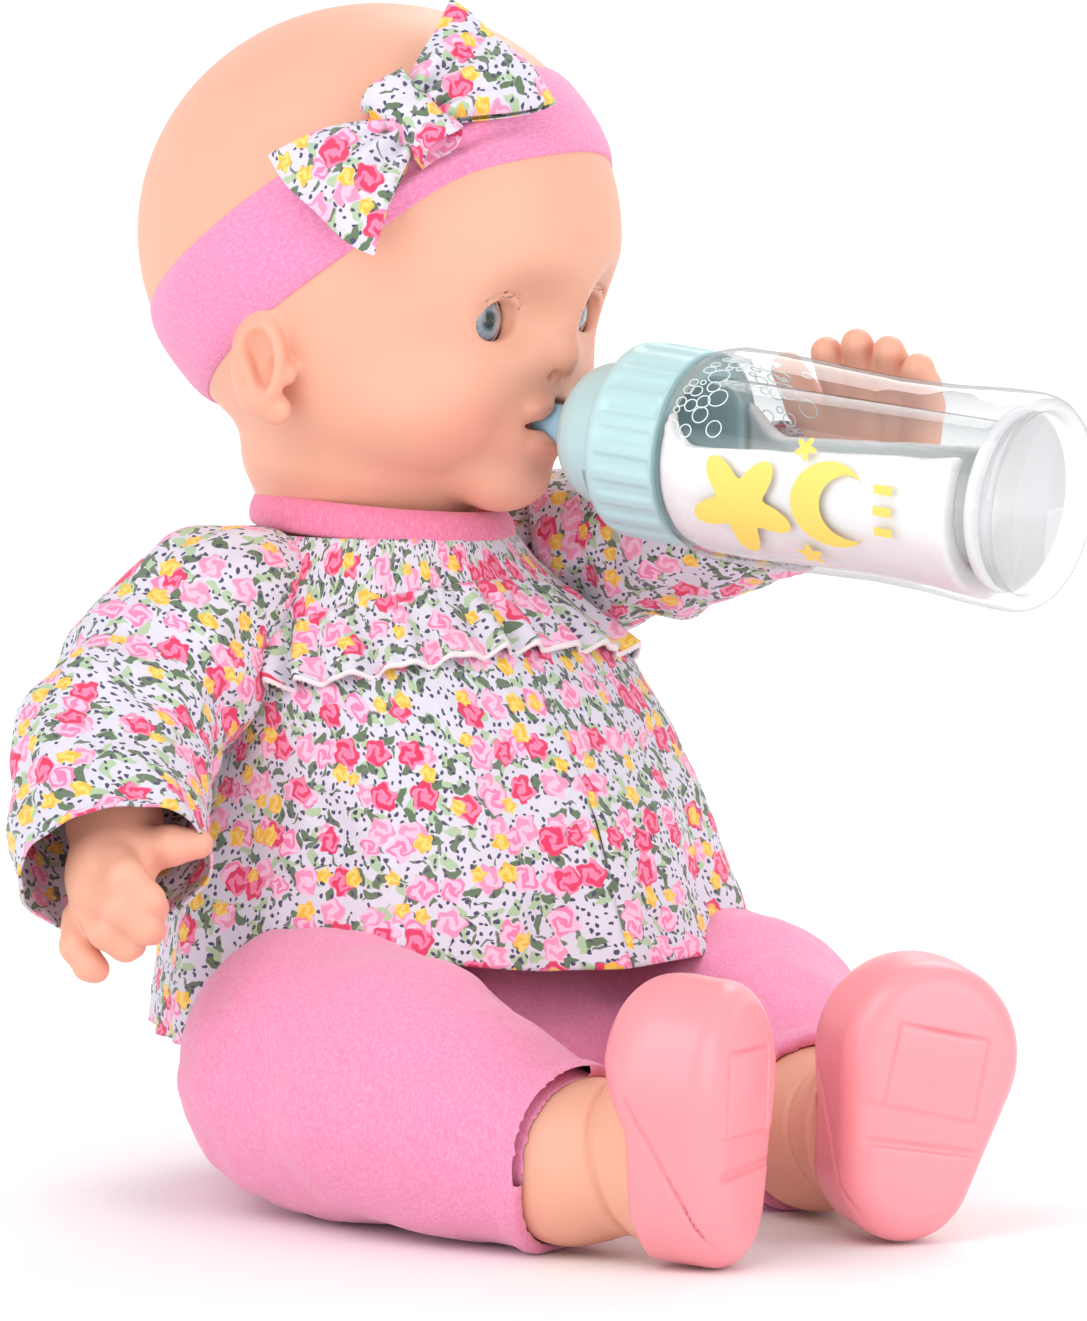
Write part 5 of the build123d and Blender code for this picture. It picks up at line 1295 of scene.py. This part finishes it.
def make_blouse():
    v = np.linspace(0, 1, 90)[:, None]
    theta = np.linspace(-math.pi, math.pi, 361)[None, :] + math.pi
    facing = np.degrees(np.angle(np.exp(1j * theta)))
    hem = np.interp(facing, [-180, -120, -90, -74, -60, -40, -16, 20, 50, 70, 90, 120, 180],
                    [36, 36, 37.5, 46.5, 55, 59.5, 56, 56, 53, 48, 42, 37, 36])
    z = 153.5 + (hem - 153.5) * v
    depth = np.clip((122 - z) / 70, 0, 1)
    fold = depth * (2.3 * np.sin(7 * theta + 0.8 + 0.6 * np.sin(3 * theta)) + 1.3 * np.sin(15 * theta + 2.0)
                    + 2.6 * swirl(theta, 2.1, z / 45))
    fold += 0.9 * swirl(theta, 5, z / 14) * (0.3 + depth)
    crease = swirl(theta, 3.1, z / 21 + theta * 0.8 + 5, z / 60)
    fold += 3.4 * np.clip(0.34 - np.abs(crease), 0, 1) * np.clip((140 - z) / 30, 0, 1) * np.clip((z - 38) / 12, 0, 1)
    gather = 0.35 * np.sin(62 * theta) * np.exp(-((z - 138) / 7.0) ** 2) * (np.abs(np.angle(np.exp(1j * theta))) < 1.2)
    flare = flare_at(theta, z)
    points = blouse_surface(theta, z, fold + gather + flare)
    uv = stack(theta * 60.0, -z) * MM
    body = grid_surface("blouse_body", points, M["floral"], uv, wrap=True, thickness=0.7)
    bind(body, "torso", "floral", "blouse")
    make_collar()
    make_ruffle()
    make_stuffing()


def make_stuffing():
    """The stuffed cloth body under the clothes, and the tape that shuts the blouse at the back."""
    def field(p):
        d = smin(ellipsoid(p, (0, -6, 48), (50, 44, 42)), ellipsoid(p, (0, -4, 100), (43, 33, 48)), 14)
        d = smin(d, cone(p, (0, 0, 130), (0, 0, 150), 27, 26), 8) + noise(p / 16) * 1.5
        pocket = np.maximum(np.maximum(np.abs(p[:, 0]) - 28.5, np.abs(p[:, 2] - 84) - 25.5), -6.0 - p[:, 1])
        return cut(d, pocket, 1.0)
    points, faces = polygonise(field, (-58, -58, 2), (58, 48, 182), 3.0)
    keep = points[:, 2] < 152
    points[~keep, 2] = 152
    body = new_object("stuffed_body", points, faces, M["cloth"])
    bind(body, "torso", "stuffing", "cloth_body", "body_flap")
    v = np.linspace(0, 1, 30)[:, None]
    theta = math.pi + np.linspace(-0.14, 0.14, 9)[None, :]
    z = 146 - 60 * v
    out = 1.3 + 0.5 * np.cos((theta - math.pi) / 0.14 * 1.2) + 0.3 * noise(stack(theta * 4, z / 9, 0 * z))
    points = blouse_surface(theta + 0 * v, z + 0 * theta, out)
    uv = stack(theta * 50, z) * MM
    tape = grid_surface("blouse_back_tape", points, M["tape"], uv, thickness=0.8)
    bind(tape, "torso", "fastener", "blouse_fastener")


def make_collar():
    a = np.linspace(0, 2 * math.pi, 17)[:, None]
    theta = np.linspace(0, 2 * math.pi, 145)[None, :]
    r = 30.2 + 2.1 * np.cos(a)
    z = 156.8 + 4.3 * np.sin(a) + 2.6 * np.cos(theta + 2.3)
    r = r - 0.25 * (z - NECK[2])
    points = stack(r * np.sin(theta), -r * np.cos(theta), z)
    uv = stack(theta * 30, a * 3) * MM
    collar = grid_surface("blouse_neckband", points, M["collar"], uv, wrap=True, subdivide=1)
    bind(collar, "torso", "collar_pink", "blouse_collar")


def make_ruffle():
    v = np.linspace(0, 1, 26)[:, None]
    theta = np.linspace(-1.38, 0.98, 561)[None, :]
    seam = 143.5 - 10.5 * (np.abs(theta) / 1.4) ** 1.7
    wave = np.sin(theta * 27 + 1.3 * np.sin(theta * 5)) + 0.5 * np.sin(theta * 43 + 1)
    drop = 14.5 * (1 - 0.2 * np.abs(theta / 1.38) ** 6)
    z = seam - drop * v + 1.1 * wave * v
    out = 1.0 + 3.2 * v**0.8 + wave * (0.5 + 1.6 * v) + 0.5 * np.sin(theta * 110) * np.exp(-v * 7)
    out += noise(stack(theta * 6, v * 2, 9))
    points = blouse_surface(theta, z, out + flare_at(theta, z))
    uv = stack(theta * 52, -v * 17.5) * MM + 1.37
    frill = grid_surface("blouse_frill", points, M["floral"], uv, thickness=0.5)
    bind(frill, "torso", "floral", "blouse_ruffle")
    line = np.stack([np.sin(theta[0]), -np.cos(theta[0])], -1)
    edge = points[-1]
    verts, faces = [], []
    n = len(edge)
    for i in range(n):
        outward = np.array([line[i][0], line[i][1], 0])
        wobble = 0.22 * math.sin(i * 2.2)
        for j in range(8):
            q = j / 8 * 2 * math.pi
            rise = np.array([0, 0, 0.95 * math.sin(q) + wobble - 0.3])
            verts.append(edge[i] + outward * (0.62 * math.cos(q) - 0.2) + rise)
    for i in range(n - 1):
        for j in range(8):
            faces.append((i * 8 + j, i * 8 + (j + 1) % 8, (i + 1) * 8 + (j + 1) % 8, (i + 1) * 8 + j))
    edging = new_object("blouse_frill_edging", verts, faces, M["thread"])
    bind(edging, "torso", "floral")


def frames_along(path, count):
    """Points, two cross directions and lengths along a smooth curve through the path."""
    p = np.array(path, float)
    seg = np.concatenate([[0], np.cumsum(np.linalg.norm(np.diff(p, axis=0), axis=1))])
    t = np.linspace(0, seg[-1], count)
    out = []
    for x in t:
        i = min(np.searchsorted(seg, x, side="right") - 1, len(p) - 2)
        f = (x - seg[i]) / (seg[i + 1] - seg[i])
        a, b, c, d = p[max(i - 1, 0)], p[i], p[i + 1], p[min(i + 2, len(p) - 1)]
        out.append(0.5 * (2 * b + (c - a) * f + (2 * a - 5 * b + 4 * c - d) * f**2 + (3 * b - a - 3 * c + d) * f**3))
    out = np.array(out)
    ahead = np.gradient(out, axis=0)
    ahead /= np.linalg.norm(ahead, axis=1)[:, None]
    up = np.cross(np.array([0, 0, 1.0])[None, :] + 0 * ahead, ahead)
    up /= np.linalg.norm(up, axis=1)[:, None]
    return out, up, np.cross(ahead, up), t


def make_sleeve(side, path, radii, seed):
    centre, sideways, upward, t = frames_along(path, 84)
    theta = np.linspace(0, 2 * math.pi, 129)[None, :]
    s = (t / t[-1])[:, None]
    r = np.interp(s[:, 0], np.linspace(0, 1, len(radii)), radii)[:, None]
    fold = swirl(theta, 1.6, s * 5, seed) * 4.2
    fold += noise(stack(np.cos(theta) * 3, np.sin(theta) * 3 + seed, s * 11)) * 1.8
    fold += 0.9 * np.sin(s * 34 + 2 * np.sin(theta + seed)) * np.exp(-((s - 0.52) / 0.16) ** 2)
    fold = fold * np.clip(s / 0.15, 0, 1) * np.clip((1.02 - s) / 0.06, 0.25, 1)
    hemline = 0.45 * np.exp(-((s - 0.93) / 0.006) ** 2)
    radius = r + fold - hemline
    points = (centre[:, None, :] + (radius * np.cos(theta))[..., None] * sideways[:, None, :]
              + (radius * np.sin(theta) * 0.94)[..., None] * upward[:, None, :])
    uv = stack(theta * 19.5, t[:, None]) * MM + seed * 0.37
    sleeve = grid_surface(f"{side}_sleeve_cloth", points, M["floral"], uv, wrap=True, thickness=0.7)
    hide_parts(f"{side}_sleeve")
    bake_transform(sleeve)


def make_sleeves():
    make_sleeve("right", [(-30, 2, 142), (-50, 2, 138), (-69, 0, 122), (-86, -6, 106), (-100, -20, 91),
                          (-105, -29, 83)],
                [14, 21, 23.5, 23.5, 23, 22.5], 1.0)
    make_sleeve("left", [(30, 2, 146), (48, -2, 145), (58, -22, 149), (63, -46, 154), (65.5, -66, 160),
                         (66, -76, 163)],
                [14, 20, 21.5, 20, 19, 18.5], 2.0)


# ---- the rest of the CAD nodes -------------------------------------------------------------------
def dress_nodes():
    """Materials for the CAD nodes that stay shown, most of them inside."""
    looks = {
        "steel": plastic("steel", (0.55, 0.55, 0.57), 0.3, 300, 0.1, Metallic=1.0),
        "inner_plastic": plastic("inner_plastic", (0.72, 0.72, 0.70), 0.45),
        "dark_plastic": plastic("dark_plastic", (0.03, 0.03, 0.035), 0.4),
        "circuit": plastic("circuit", (0.03, 0.16, 0.07), 0.4, 200, 0.2),
        "cells": plastic("cells", (0.05, 0.05, 0.07), 0.3, 100, 0.05),
        "lead": plastic("lead", (0.6, 0.6, 0.6), 0.6),
        "nylon": plastic("nylon", (0.82, 0.82, 0.80), 0.5),
        "button": plastic("button", (0.80, 0.12, 0.20), 0.35),
        "stuffing": M["cloth"], "fastener": M["tape"],
    }
    mouth_inside = plastic("mouth_inside", (0.42, 0.13, 0.10), 0.5)
    slots = {s["node"]: s["material_slot"] for s in frame["record"]["subparts"]}
    for name, obj in frame["nodes"].items():
        node = bpy.data.objects.get(name) if isinstance(obj, str) else obj
        look = mouth_inside if name == "mouth_socket" else looks.get(slots.get(name))
        if node is None or look is None:
            continue
        if not node.material_slots:
            node.data.materials.append(look)
        for entry in node.material_slots:
            entry.material = look


make_stage()
make_materials()
make_head()
make_eyes()
make_headband()
make_bow()
make_bottle()
make_arms()
make_legs()
make_leggings()
make_blouse()
make_sleeves()
dress_nodes()
